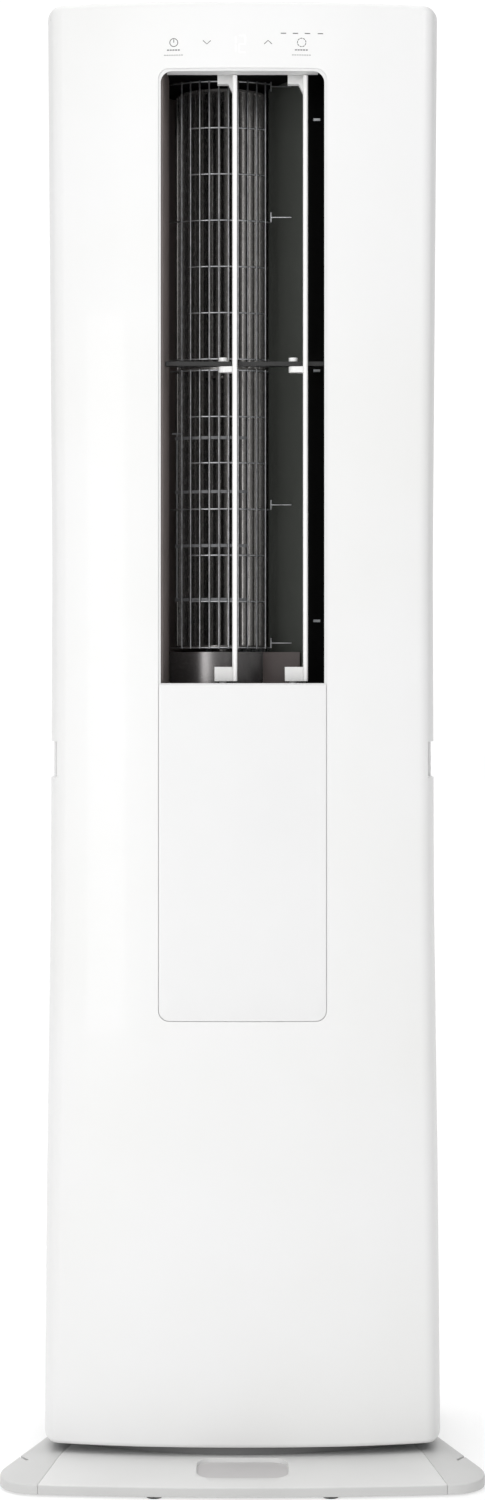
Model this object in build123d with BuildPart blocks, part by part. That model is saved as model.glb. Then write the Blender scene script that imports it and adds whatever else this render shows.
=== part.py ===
from build123d import *
import math
import os

# Floor-standing tower air conditioner, in millimetres.
# The origin is on the floor under the middle of the foot. The front faces -Y and the top is +Z.
# A depth is counted backwards from the front plane of the cabinet.

# Cabinet
cabinet_height = 1750
cabinet_depth = 350
cabinet_underside = 35
foot_width = 478
knee_width = 472.8
knee_height = 330
hip_width = 463
hip_height = 685
waist_width = 460.4
waist_height = 1090
head_width = 470.6
skin = 2.5
top_round = 8
foot_round = 6
edge_steps = 2

# Plan of the cabinet: a chain of tangent arcs from the middle of the front to the side
front_radius = 1300
front_half_chord = 112
shoulder_end_turn = 14
corner_radius = 20
corner_end_turn = 72
flank_radius = 150
rear_corner_radius = 24

# Clearances
seat_gap = 0.2
seam_gap = 0.5
slide_gap = 0.5
shaft_gap = 0.05

# Front panel, top cover and side grips
panel_depth = 140
cover_height = 14
cover_setback = 40
grip_height = 43
grip_bottom = 829
grip_front_depth = 30
grip_back_depth = 128
grip_sink = 12
grip_wall = 2

# Outlet and the panel below it
slot_width = 200
slot_bottom = 540.5
slot_top = 1670
slot_corner = 13
rim_width = 3
outlet_bottom = 941.5
infill_top = 940
infill_gap = 0.6
frame_thickness = 2
frame_width = 220
frame_bottom = 135
frame_top = 1684
frame_bar = 16
hood_depth = 27
hood_thickness = 2
hood_width = 180

# Sliding door
door_width = 208
door_thickness = 2.5
door_top = 936
door_height = 790
door_travel = 730
door_corner = 12
rail_thickness = 2
rail_cover = 8
rail_bottom = 142
rail_spare = 12

# Rack and pinion of the door
gear_module = 2.5
pinion_teeth = 14
pressure_angle = 20
addendum = 2.0
dedendum = 2.5
backlash = 0.15
rack_width = 8
rack_x = 90
rack_back = 3
pinion_height = 902
pinion_width = 7
pinion_shaft_radius = 3
door_motor_radius = 14
door_motor_length = 20
door_bracket_thickness = 1.5
door_bracket_flange = 2

# Air duct
ceiling_height = 1680
ceiling_thickness = 3
floor_height = 936
floor_thickness = 4
duct_front_depth = 12
floor_front_depth = 23
duct_wall = 3
left_wall_front_x = -96
left_wall_front_depth = 17
left_wall_waist_x = -91
left_wall_waist_depth = 112
right_wall_front_x = 76
right_wall_front_depth = 90
tongue_x = 33
tongue_depth = 175
tongue_round = 4
baffle_depth = 205
channel_cover_x = 104
clip_height = 3
clip_width = 8
clip_reach = 4
clip_x = 90
clip_low = 1016
clip_middle = 1319
clip_high = 1623

# Fan
fan_x = -25
fan_depth = 203
fan_radius = 58
fan_blade_count = 33
fan_blade_depth = 13
fan_blade_thickness = 1.4
fan_blade_steps = 2
fan_bottom = 986
fan_top = 1675
fan_disc = 3
fan_hub_radius = 14
fan_hub_drop = 14
fan_shaft_radius = 5
fan_stub_radius = 4
scroll_start_gap = 7
scroll_end_gap = 20
wall_steps = 16
bearing_radius = 8
bearing_seat_radius = 13
bearing_height = 9
bearing_bottom = 1679.2
seat_flange = 4
motor_edge = 6
motor_radius = 56
motor_height = 70
motor_top = 921
motor_boss_radius = 16
motor_boss_height = 5
motor_shaft_sink = 30
bracket_thickness = 3
bracket_post_radius = 5
bracket_post_circle = 48

# Wire guards
guard_radius = 105
wire_width = 2
wire_sides = 6
wire_bite = 0.2
wire_count = 10
wire_turn = 6.4
wire_first_turn = -27.6
guard_rows = 7
guard_row_pitch = 56.3
upper_guard_bottom = 1336.7
lower_guard_bottom = 985.2
long_row_every = 3
row_left_turn = -22.5
row_right_turn = 31
long_row_left_turn = -37.4
long_row_right_turn = 34
hoop_height = 3.7
hoop_thickness = 0.8
hoop_count = 4
hoop_pitch = 65.7
hoop_bottom = 1044
hoop_left_turn = -34
hoop_right_turn = 17.6
rod_radius = 1.2
rod_rise = 6
hook_wire = 1.6
hook_tick = 12
hook_rise = 6
hook_drop = 3
hook_x = 34.8
hook_depth = 116
hook_reach = 25
curb_top = 980
curb_thickness = 3
curb_left_x = -88
curb_right_x = 24
curb_gap = 1.5

# Louvers
louver_depth = 50
left_louver_x = -23.5
right_louver_x = 60.8
louver_offset = 14.3
louver_reach_front = 24
louver_reach_back = 22
louver_front_thickness = 6
louver_back_thickness = 3
louver_bottom = 944.2
louver_top = 1666
louver_shaft_radius = 3
louver_boss_radius = 5.4
bracket_depth = 12
bracket_left = 6.5
top_bracket_height = 12
top_gusset_height = 28
bracket_lift = 6
bottom_block_height = 17
bottom_block_left = 10
crank_length = 14
crank_thickness = 3
crank_pin_radius = 2
link_thickness = 3
link_width = 9
louver_motor_radius = 14
louver_motor_height = 19
louver_motor_lift = 9
motor_ear = 18
motor_post_radius = 2.5
motor_pin_radius = 2.5
crossbar_height = 1322
crossbar_thickness = 5
crossbar_depth = 14
crossbar_left_x = -92.1
notch_front = 19
notch_rise = 9
pin_cap_height = 4.5
wedge_height = 7

# Evaporator, filters and pipes
coil_width = 365
coil_x = 12.5
coil_thickness = 28
coil_depth = 274
coil_bottom = 948
coil_top = 1672
end_plate = 1.5
end_plate_lip = 3
coil_bend_pitch = 116
coil_bend_count = 6
coil_tube_radius = 4
coil_row_spacing = 16
header_radius = 9
header_bottom = 1000
header_top = 1620
pan_height = 18
pan_wall = 2
pan_rim = 6
pan_side_rim = 8
pipe_wall = 1
pipe_sides = 8
bend_steps = 5
coil_header_end = 20
filter_depth = 313
filter_thickness = 6
filter_height = 348
filter_left_x = -196
filter_rib = 3
filter_mesh = 0.8
filter_bottom = 957
filter_pitch = 358
filter_columns = 4
filter_bays = 3
frame_lip = 4
post_low = 945
post_top = 1675
intake_width = 380
intake_height = 700
intake_bottom = 960
intake_corner = 12
grille_thickness = 3
grille_rows = 24
grille_slot_width = 176
grille_slot_height = 16
grille_flange = 7
grille_middle_rib = 12
port_width = 84
port_height = 80
port_x = -165
port_bottom = 87
port_corner = 6
port_sink = 34
port_wall = 2
port_flange = 8
gas_radius = 6.35
liquid_radius = 3.175
drain_radius = 8
pipe_turn_depth = 315
round_stub_depth = 318
gas_x = -188
gas_depth = 294
gas_height = 145
liquid_x = -186
liquid_depth = 280
liquid_top = 1050
liquid_elbow = 12
liquid_height = 108
drain_x = -148
drain_depth = 288
drain_height = 118
pipe_end_depth = 346

# Electrical parts
box_width = 170
box_height = 130
box_depth = 80
box_bottom = 640
box_x = 60
box_wall = 2
board_width = 180
board_height = 30
board_bottom = 1686
board_depth = 12.5
board_thickness = 1.6
carrier_thickness = 2
carrier_foot = 22
display_near = 3.2
display_width = 30
display_height = 24
display_x = -5

# Base
base_reach = 92
base_underside = 2
rim_height = 13.6
base_top = 25
base_front_radius = 2167
base_front_half = 243
base_corner_radius = 46
base_corner_turn = 80
base_side_radius = 90
base_side_turn = 105.5
base_rear_width = 472
base_front_steps = 5
base_corner_steps = 9
base_side_steps = 4
wing_end_depth = 162
base_inner_half = 205
base_inner_corner = 18
base_inner_side = 60
base_inner_turn = 88
base_inner_rear = 222
seam_front_x = 240
seam_back_x = 207
seam_bend_depth = 60
recess_width = 108
recess_length = 60
recess_corner = 18
recess_sink = 5
recess_depth = 32
wing_slot_length = 44
wing_slot_width = 3.2
wing_slot_x = 262
wing_slot_depth = 34
wing_slot_turn = -72
plinth_radius = 400
plinth_setback = 12
plinth_width = 430
plinth_rear_setback = 14
plinth_top = 36.8
pan_plate = 2
foot_radius = 9
foot_sink = 3
foot_boss = 3
foot_front_x = 102
foot_front_depth = -80
foot_wing_x = 262
foot_wing_depth = -15
foot_rear_x = 200
foot_rear_depth = 325
underside_wall = 4
underside_sink = 7

# Screws on the back
screw_head = 3.6
screw_shank = 1.9
screw_length = 8
screw_x = 200
screw_low = 220
screw_middle = 560
screw_high = 1700

# Places that follow from the sizes above
front_y = (base_reach - cabinet_depth) / 2
rear_y = front_y + cabinet_depth
fan_y = front_y + fan_depth
louver_y = front_y + louver_depth
frame_near = skin + seat_gap
frame_far = frame_near + frame_thickness
door_near = frame_far + slide_gap
door_far = door_near + door_thickness
sections = [
    (knee_height, knee_width / 2),
    (hip_height, hip_width / 2),
    (waist_height, waist_width / 2),
]

os.makedirs("parts", exist_ok=True)


# A vertical plane that faces the front, at a depth behind the front plane
def plane_at(depth):
    return Plane.XZ.offset(-(front_y + depth))


# How far the front skin curves back at a distance from the middle
def skin_fall(x):
    return front_radius - math.sqrt(front_radius**2 - x**2)


# One plan section of the cabinet, shrunk by an inset
def cabinet_section(height, half_width, inset):
    turn_1 = math.degrees(math.asin(front_half_chord / front_radius))
    sine_1 = math.sin(math.radians(turn_1))
    sine_2 = math.sin(math.radians(shoulder_end_turn))
    sine_3 = math.sin(math.radians(corner_end_turn))
    corner_run = corner_radius * (sine_3 - sine_2) + flank_radius * (1 - sine_3)
    shoulder_radius = (half_width - front_half_chord - corner_run) / (sine_2 - sine_1)
    with BuildSketch(Plane.XY.offset(height)) as section:
        with BuildLine():
            front = JernArc((0, front_y + inset), (1, 0), front_radius - inset, turn_1)
            shoulder = JernArc(front @ 1, front % 1, shoulder_radius - inset, shoulder_end_turn - turn_1)
            corner = JernArc(
                shoulder @ 1, shoulder % 1, corner_radius - inset, corner_end_turn - shoulder_end_turn
            )
            flank = JernArc(corner @ 1, corner % 1, flank_radius - inset, 90 - corner_end_turn)
            side = Line(flank @ 1, (half_width - inset, rear_y - rear_corner_radius))
            rear_corner = JernArc(side @ 1, (0, 1), rear_corner_radius - inset, 90)
            Line(rear_corner @ 1, (0, rear_y - inset))
            mirror(about=Plane.YZ)
        make_face()
    return section.sketch.face()


# The cabinet's solid form, shrunk by an inset, with its top edge rounded and its foot edge too if asked
def cabinet_form(inset, foot_edge=0):
    top_edge = max(top_round - inset, seam_gap)
    foot = rounded_edge(cabinet_underside + foot_edge, foot_width / 2, inset, -foot_edge)
    if foot_edge == 0:
        foot = foot[:1]
    middle = [cabinet_section(height, half_width, inset) for height, half_width in sections]
    top = rounded_edge(cabinet_height - inset - top_edge, head_width / 2, inset, top_edge)
    return loft(foot[::-1] + middle + top, ruled=True)


# Plan sections that round an end of the form: upwards for a positive radius, downwards for a negative one
def rounded_edge(height, half_width, inset, radius):
    turns = [math.radians(90 * step / edge_steps) for step in range(edge_steps + 1)]
    return [
        cabinet_section(
            height + radius * math.sin(turn), half_width, inset + abs(radius) * (1 - math.cos(turn))
        )
        for turn in turns
    ]


# A band that follows the curve of the front between two depths, at most so far from the middle
def front_band(half_width, near, far, bottom, top):
    with BuildPart() as band:
        with BuildSketch(Plane.XY.offset(bottom)):
            with Locations((0, front_y + front_radius)):
                Circle(front_radius - near)
                Circle(front_radius - far, mode=Mode.SUBTRACT)
            with Locations((0, front_y)):
                Rectangle(2 * half_width, 2 * panel_depth, mode=Mode.INTERSECT)
        extrude(amount=top - bottom)
    return band.part


# A block given by its lowest and highest corners, in the part that is being built
def block(low, high, mode=Mode.ADD):
    size = [b - a for a, b in zip(low, high)]
    middle = [(a + b) / 2 for a, b in zip(low, high)]
    with Locations(tuple(middle)):
        Box(*size, mode=mode)


# An upright round bar, in the part that is being built
def upright(x, y, bottom, top, radius, mode=Mode.ADD):
    with Locations((x, y, (bottom + top) / 2)):
        Cylinder(radius, top - bottom, mode=mode)


# A depth behind the front plane as a Y value
def y_at(depth):
    return front_y + depth


# A point of the plan at a turn and a distance from the fan's axis, where a turn of 0 is straight ahead
def fan_point(turn, distance):
    angle = math.radians(turn - 90)
    return (fan_x + distance * math.cos(angle), fan_y + distance * math.sin(angle))


# The outline of a strip: along one side of a line and back along the other, in straight steps
def strip(line, steps, thickness):
    one_side, other_side = [], []
    for step in range(steps + 1):
        place = line @ (step / steps)
        along = line % (step / steps)
        aside = Vector(-along.Y, along.X) * (thickness / 2)
        one_side.append(place + aside)
        other_side.append(place - aside)
    return one_side + other_side[::-1]


# A bar of flats that follows a bend, through planes given in order
def bent_bar(planes, radius, sides):
    rings = []
    for plane in planes:
        with BuildSketch(plane) as ring:
            RegularPolygon(radius, sides)
        rings.append(ring.sketch.face())
    return loft(rings, ruled=True)


# Finish a piece: name it and write its file
def save(piece, name):
    piece.part.label = name
    export_step(piece.part, f"parts/{name}.step")


# Forms shared by the pieces of the cabinet
wide = foot_width
back_plane = Plane(origin=(0, rear_y, 0), x_dir=(-1, 0, 0), z_dir=(0, 1, 0))
screw_places = [(x, z) for x in (-screw_x, screw_x) for z in (screw_low, screw_middle, screw_high)]
core_form = cabinet_form(skin + seat_gap)
cover_bottom = cabinet_height - cover_height
cover_front = y_at(cover_setback)
split_y = y_at(panel_depth)
slot_middle = (slot_bottom + slot_top) / 2
slot_height = slot_top - slot_bottom
floor_top = floor_height + floor_thickness
ceiling_top = ceiling_height + ceiling_thickness
duct_height = ceiling_height - floor_top

with BuildPart() as cabinet_shell:
    add(cabinet_form(0, foot_round))
    add(cabinet_form(skin), mode=Mode.SUBTRACT)

# Front panel: it wraps round the front and sides and rolls over the top edge
with BuildPart() as front_panel:
    add(cabinet_shell.part)
    block((-wide, y_at(-10), 0), (wide, split_y, cabinet_height), Mode.INTERSECT)
    block((-wide, cover_front, cover_bottom), (wide, rear_y, cabinet_height), Mode.SUBTRACT)
    with BuildSketch(plane_at(-10)):
        with Locations((0, slot_middle)):
            RectangleRounded(slot_width, slot_height, slot_corner)
    extrude(amount=-panel_depth / 2, mode=Mode.SUBTRACT)
    for low_x, high_x in ((-wide, -waist_width / 3), (waist_width / 3, wide)):
        block(
            (low_x, y_at(grip_front_depth), grip_bottom),
            (high_x, y_at(grip_back_depth), grip_bottom + grip_height),
            Mode.SUBTRACT,
        )
save(front_panel, "front_panel")

# Rear casing: sides and back, with the intake, the pipe port and two filter slits
with BuildPart() as rear_casing:
    add(cabinet_shell.part)
    block((-wide, split_y + seam_gap, 0), (wide, rear_y, cabinet_height), Mode.INTERSECT)
    block((-wide, cover_front, cover_bottom), (wide, rear_y, cabinet_height), Mode.SUBTRACT)
    with BuildSketch(plane_at(cabinet_depth + 10)):
        with Locations((0, intake_bottom + intake_height / 2)):
            RectangleRounded(intake_width, intake_height, intake_corner)
        with Locations((port_x, port_bottom + port_height / 2)):
            RectangleRounded(port_width, port_height, port_corner)
    extrude(amount=30, mode=Mode.SUBTRACT)
    for row in range(2):
        slit_bottom = filter_bottom + row * filter_pitch
        block(
            (waist_width / 3, y_at(filter_depth - slide_gap), slit_bottom - slide_gap),
            (wide, y_at(filter_depth + filter_thickness + slide_gap), slit_bottom + filter_height + slide_gap),
            Mode.SUBTRACT,
        )
    with Locations(back_plane):
        with Locations(screw_places):
            CounterSinkHole(screw_shank + seat_gap, screw_head, 2 * skin)
save(rear_casing, "rear_casing")

# Top cover
with BuildPart() as top_cover:
    add(cabinet_shell.part)
    block(
        (-wide, cover_front + seam_gap, cover_bottom + seam_gap),
        (wide, rear_y, cabinet_height),
        Mode.INTERSECT,
    )
save(top_cover, "top_cover")

# Countersunk screws in the back
with BuildPart() as casing_screw:
    with BuildSketch(Plane.YZ):
        with BuildLine():
            Polyline(
                (0, 0),
                (screw_head - seat_gap, 0),
                (screw_shank, -screw_head + screw_shank),
                (screw_shank, -screw_length),
                (0, -screw_length),
                close=True,
            )
        make_face()
    revolve(axis=Axis.Z)
with BuildPart() as casing_screws:
    with Locations(back_plane):
        with Locations(screw_places):
            add(casing_screw.part)
save(casing_screws, "casing_screws")

# Infill panel, flush with the front below the outlet
with BuildPart() as infill_panel:
    add(front_band(slot_width, 0, skin, 0, infill_top))
    with BuildSketch(plane_at(-10)):
        with Locations((0, slot_middle)):
            RectangleRounded(slot_width - 2 * infill_gap, slot_height - 2 * infill_gap, slot_corner)
    extrude(amount=-panel_depth / 2, mode=Mode.INTERSECT)
save(infill_panel, "infill_panel")

# Frame behind the slot: the rim of the outlet, the seat of the infill and the front of the door rails
outlet_half = slot_width / 2 - rim_width
outlet_top = slot_top - rim_width
with BuildPart() as outlet_frame:
    add(front_band(frame_width / 2, frame_near, frame_far, frame_bottom, frame_top))
    with BuildSketch(plane_at(-10)):
        with Locations((0, outlet_bottom)):
            Rectangle(2 * outlet_half, outlet_top - outlet_bottom, align=(Align.CENTER, Align.MIN))
        fillet(vertices().sort_by(Axis.Y)[-2:], radius=slot_corner)
        lower_window = outlet_bottom - frame_bar - slot_bottom - 4 * rim_width
        with Locations((0, outlet_bottom - frame_bar - lower_window / 2)):
            RectangleRounded(2 * outlet_half - 4 * rim_width, lower_window, slot_corner)
    extrude(amount=-panel_depth / 2, mode=Mode.SUBTRACT)
    block(
        (-hood_width / 2, y_at(frame_far - 1) + skin_fall(hood_width / 2), outlet_top),
        (hood_width / 2, y_at(hood_depth), outlet_top + hood_thickness),
    )
save(outlet_frame, "outlet_frame")

# Side grips: a cup behind each opening in the front panel
grip_floor_form = cabinet_form(grip_sink)
grip_back_form = cabinet_form(grip_sink + grip_wall)
for name, low_x, high_x in (("left_grip", -wide, -waist_width / 3), ("right_grip", waist_width / 3, wide)):
    with BuildPart() as hollow:
        block(
            (low_x, y_at(grip_front_depth), grip_bottom),
            (high_x, y_at(grip_back_depth), grip_bottom + grip_height),
        )
        add(grip_floor_form, mode=Mode.SUBTRACT)
    with BuildPart() as grip:
        block(
            (low_x, y_at(grip_front_depth - grip_wall), grip_bottom - grip_wall),
            (high_x, y_at(grip_back_depth + grip_wall), grip_bottom + grip_height + grip_wall),
        )
        add(core_form, mode=Mode.INTERSECT)
        add(grip_back_form, mode=Mode.SUBTRACT)
        add(hollow.part, mode=Mode.SUBTRACT)
    save(grip, name)

# Sliding door, lowered behind the infill when the outlet is open
with BuildPart() as sliding_door:
    add(front_band(door_width, door_near, door_far, 0, cabinet_height))
    with BuildSketch(plane_at(-10)):
        with Locations((0, door_top - door_height / 2)):
            RectangleRounded(door_width, door_height, door_corner)
    extrude(amount=-panel_depth / 2, mode=Mode.INTERSECT)
save(sliding_door, "sliding_door")

# Rails that guide the door's edges behind the frame
rail_outer = door_width / 2 + slide_gap + rail_thickness
rail_near = frame_far + skin_fall(rail_outer) + seat_gap
rail_flange = door_far + skin_fall(door_width / 2) + slide_gap
with BuildPart() as door_rails:
    for side in (-1, 1):
        with BuildSketch(Plane.XY.offset(rail_bottom)):
            with BuildLine():
                Polyline(
                    (side * rail_outer, y_at(rail_near)),
                    (side * (rail_outer - rail_thickness), y_at(rail_near)),
                    (side * (rail_outer - rail_thickness), y_at(rail_flange)),
                    (side * (rail_outer - rail_cover), y_at(rail_flange)),
                    (side * (rail_outer - rail_cover), y_at(rail_flange + rail_thickness)),
                    (side * rail_outer, y_at(rail_flange + rail_thickness)),
                    close=True,
                )
            make_face()
        extrude(amount=door_top + door_travel + rail_spare - rail_bottom)
save(door_rails, "door_rails")

# Rack on the back of the door
pitch = math.pi * gear_module
flank = math.tan(math.radians(pressure_angle))
rack_near = door_far + skin_fall(rack_x + rack_width / 2) + seat_gap
rack_root = rack_near + rack_back
rack_pitch_line = rack_root + dedendum
tooth_half = pitch / 4 - backlash / 2
root_half = tooth_half + dedendum * flank
tip_half = tooth_half - addendum * flank
teeth_below = int((pinion_height - door_top + door_height - door_corner) / pitch - 0.5)
teeth_above = int((door_top - door_corner - pinion_height) / pitch + 0.5)
rack_edge = [(y_at(rack_near), pinion_height - teeth_below * pitch)]
for tooth in range(-teeth_below, teeth_above):
    middle = pinion_height + (tooth + 0.5) * pitch
    rack_edge.append((y_at(rack_root), middle - root_half))
    rack_edge.append((y_at(rack_pitch_line + addendum), middle - tip_half))
    rack_edge.append((y_at(rack_pitch_line + addendum), middle + tip_half))
    rack_edge.append((y_at(rack_root), middle + root_half))
rack_edge.append((y_at(rack_near), pinion_height + teeth_above * pitch))
with BuildPart() as door_rack:
    with BuildSketch(Plane.YZ.offset(rack_x - rack_width / 2)):
        with BuildLine():
            Polyline(*rack_edge, close=True)
        make_face()
    extrude(amount=rack_width)
save(door_rack, "door_rack")

# Pinion with involute teeth and its shaft, and the motor that turns it
pitch_radius = gear_module * pinion_teeth / 2
base_radius = pitch_radius * math.cos(math.radians(pressure_angle))
pinion_y = y_at(rack_pitch_line + pitch_radius)
pinion_plane = Plane(origin=(rack_x, pinion_y, pinion_height), x_dir=(0, -1, 0), z_dir=(-1, 0, 0))


# The tangent of an involute's pressure angle at a radius, less that angle
def involute(radius):
    angle = math.acos(min(base_radius / radius, 1))
    return math.tan(angle) - angle


half_turn = (math.pi / 2 - backlash / gear_module) / pinion_teeth + involute(pitch_radius)
radii = [base_radius + (pitch_radius + addendum - base_radius) * step / 3 for step in range(4)]
flank_points = [(pitch_radius - dedendum - 1, half_turn)] + [(r, half_turn - involute(r)) for r in radii]
edge_points = flank_points + [(r, -turn) for r, turn in reversed(flank_points)]
with BuildSketch() as pinion_tooth:
    with BuildLine():
        Polyline(*[(r * math.cos(turn), r * math.sin(turn)) for r, turn in edge_points], close=True)
    make_face()
with BuildPart() as door_pinion:
    with BuildSketch(pinion_plane.offset(-pinion_width / 2)):
        Circle(pitch_radius - dedendum)
        with PolarLocations(0, pinion_teeth):
            add(pinion_tooth.sketch)
    extrude(amount=pinion_width)
    with BuildSketch(pinion_plane.offset(-pinion_width / 2)):
        Circle(pinion_shaft_radius)
    extrude(amount=pinion_width + door_motor_length / 2 + rail_thickness)
save(door_pinion, "door_pinion")

# Motor of the door, with a bore for the pinion's shaft, and the plate it hangs from
motor_plane = pinion_plane.offset(pinion_width / 2 + door_bracket_thickness + 2 * slide_gap)
with BuildPart() as door_motor:
    with BuildSketch(motor_plane):
        Circle(door_motor_radius)
    extrude(amount=door_motor_length)
    with BuildSketch(motor_plane):
        Circle(pinion_shaft_radius + shaft_gap)
    extrude(amount=door_motor_length - rail_thickness, mode=Mode.SUBTRACT)
save(door_motor, "door_motor")
with BuildPart() as door_motor_bracket:
    bracket_right = rack_x - pinion_width / 2 - slide_gap
    block(
        (bracket_right - door_bracket_thickness, pinion_y - door_motor_radius, pinion_height - door_motor_radius),
        (bracket_right, pinion_y + door_motor_radius, floor_height - seat_gap),
    )
    block(
        (bracket_right - door_motor_length, pinion_y - door_motor_radius, floor_height - door_bracket_flange),
        (bracket_right, pinion_y + door_motor_radius, floor_height - seat_gap),
    )
    with BuildSketch(pinion_plane):
        Circle(pinion_shaft_radius + slide_gap)
    extrude(amount=door_motor_length, mode=Mode.SUBTRACT)
save(door_motor_bracket, "door_motor_bracket")

# Floor of the air duct
with BuildPart() as duct_floor:
    block((-wide, y_at(floor_front_depth), floor_height), (wide, rear_y, floor_top))
    add(core_form, mode=Mode.INTERSECT)
    for x in (left_louver_x, right_louver_x):
        upright(x, louver_y, 0, floor_top, louver_shaft_radius + shaft_gap, Mode.SUBTRACT)
    upright(fan_x, fan_y, 0, floor_top, motor_boss_radius + slide_gap, Mode.SUBTRACT)
    for x, depth, radius in (
        (gas_x, gas_depth, gas_radius),
        (liquid_x, liquid_depth, liquid_radius),
        (drain_x, drain_depth, drain_radius),
    ):
        upright(x, y_at(depth), 0, floor_top, radius + slide_gap, Mode.SUBTRACT)
save(duct_floor, "duct_floor")

# Ceiling of the air duct
with BuildPart() as duct_ceiling:
    block((-wide, y_at(duct_front_depth), ceiling_height), (wide, rear_y, ceiling_top))
    add(core_form, mode=Mode.INTERSECT)
    for x in (left_louver_x, right_louver_x):
        upright(x, louver_y, 0, cabinet_height, louver_shaft_radius + shaft_gap, Mode.SUBTRACT)
    upright(fan_x, fan_y, 0, cabinet_height, bearing_seat_radius + seat_gap, Mode.SUBTRACT)
save(duct_ceiling, "duct_ceiling")

# Left wall of the duct: the outlet's side, the scroll round the fan and a baffle to the casing
# Each turn round the fan, with the share of the way from the start gap to the end gap
scroll_turns = ((-160, 0), (-135, 0.35), (-110, 0.7), (-85, 1.1), (-62, 1.7))
with BuildLine() as left_wall_line:
    scroll = Spline(*[
        fan_point(turn, fan_radius + scroll_start_gap + (scroll_end_gap - scroll_start_gap) * share)
        for turn, share in scroll_turns
    ])
    waist = (left_wall_waist_x, y_at(left_wall_waist_depth))
    bend = Spline(scroll @ 1, waist, tangents=(scroll % 1, (-0.05, -1)))
    Line(bend @ 1, (left_wall_front_x, y_at(left_wall_front_depth)))
with BuildPart() as left_duct_wall:
    with BuildSketch(Plane.XY.offset(floor_top + seat_gap)):
        with BuildLine():
            Polyline(*strip(left_wall_line.wire(), wall_steps, duct_wall), close=True)
        make_face()
        with BuildLine():
            Line(fan_point(-90, fan_radius + scroll_end_gap), (-wide, y_at(baffle_depth)))
        trace(line_width=duct_wall)
    extrude(amount=duct_height - 2 * seat_gap)
    add(core_form, mode=Mode.INTERSECT)
save(left_duct_wall, "left_duct_wall")

# Right wall of the duct: the black channel's side, the tongue by the fan and a baffle to the casing
with BuildPart() as right_duct_wall:
    with BuildSketch(Plane.XY.offset(floor_top + seat_gap)):
        with BuildLine():
            FilletPolyline(
                (frame_width / 2 - 2 * rail_thickness, y_at(right_wall_front_depth)),
                (right_wall_front_x, y_at(right_wall_front_depth)),
                (tongue_x, y_at(tongue_depth)),
                (tongue_x + 4 * tongue_round, y_at(tongue_depth + 4 * tongue_round)),
                (wide, y_at(baffle_depth)),
                radius=tongue_round,
            )
        trace(line_width=duct_wall)
    extrude(amount=duct_height - 2 * seat_gap)
    add(core_form, mode=Mode.INTERSECT)
save(right_duct_wall, "right_duct_wall")

# Dark cover of the channel that the rack and the door's edge pass through
with BuildPart() as channel_cover:
    cover_depth = right_wall_front_depth - duct_wall
    with BuildSketch(Plane.XY.offset(floor_top + seat_gap)):
        with BuildLine():
            Polyline(
                (right_wall_front_x + 1, y_at(cover_depth)),
                (channel_cover_x, y_at(cover_depth)),
                (channel_cover_x, y_at(left_wall_front_depth)),
            )
        trace(line_width=rail_thickness)
    extrude(amount=duct_height - 2 * seat_gap)
save(channel_cover, "channel_cover")

# Three small metal clips on the channel cover
clip_far = cover_depth - rail_thickness / 2 - seat_gap
with BuildPart() as door_clips:
    for height in (clip_low, clip_middle, clip_high):
        block(
            (clip_x - clip_width / 2, y_at(clip_far - clip_reach), height),
            (clip_x + clip_width / 2, y_at(clip_far), height + clip_height),
        )
save(door_clips, "door_clips")

# Curved skirt below the wire guards, and the flat plate on its right
curb_radius = guard_radius - wire_width / 2
curb_left_turn = math.degrees(math.asin((curb_left_x - fan_x) / curb_radius))
curb_right_turn = math.degrees(math.asin((curb_right_x - fan_x) / curb_radius))
curb_end = fan_point(curb_right_turn, curb_radius)
with BuildPart() as guard_skirt:
    with BuildSketch(Plane.XY.offset(floor_top + seat_gap)):
        with BuildLine():
            ThreePointArc(fan_point(curb_left_turn, curb_radius), fan_point(0, curb_radius), curb_end)
        trace(line_width=curb_thickness)
    extrude(amount=curb_top - floor_top - seat_gap)
save(guard_skirt, "guard_skirt")
with BuildPart() as right_curb:
    with BuildSketch(Plane.XY.offset(floor_top + seat_gap)):
        with BuildLine():
            Line(
                (curb_end[0] + curb_gap, curb_end[1]),
                (right_wall_front_x - 2 * duct_wall, y_at(right_wall_front_depth + duct_wall + 1)),
            )
        trace(line_width=curb_thickness)
    extrude(amount=curb_top - floor_top - seat_gap)
save(right_curb, "right_curb")


# A wire guard, welded from upright wires and from rows that bend round the fan
def wire_guard(bottom):
    row_radius = guard_radius - wire_width / 2 + wire_bite / 2
    upright_radius = guard_radius + wire_width / 2 - wire_bite / 2
    with BuildPart() as guard:
        for row in range(guard_rows):
            is_long = row % long_row_every == 0
            first_turn = long_row_left_turn if is_long else row_left_turn
            last_turn = long_row_right_turn if is_long else row_right_turn
            with BuildSketch(Plane.XY.offset(bottom + row * guard_row_pitch - wire_width / 2)):
                with BuildLine():
                    ThreePointArc(
                        fan_point(first_turn, row_radius),
                        fan_point((first_turn + last_turn) / 2, row_radius),
                        fan_point(last_turn, row_radius),
                    )
                trace(line_width=wire_width)
            extrude(amount=wire_width, clean=False)
        with BuildSketch(Plane.XY.offset(bottom - wire_width / 2)):
            for wire in range(wire_count):
                turn = wire_first_turn + wire * wire_turn
                x, y = fan_point(turn, upright_radius)
                with Locations(Location((x, y, 0), (0, 0, turn))):
                    Rectangle(wire_width, wire_width)
        extrude(amount=(guard_rows - 1) * guard_row_pitch + wire_width)
    return guard


save(wire_guard(upper_guard_bottom), "upper_guard")
save(wire_guard(lower_guard_bottom), "lower_guard")

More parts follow.
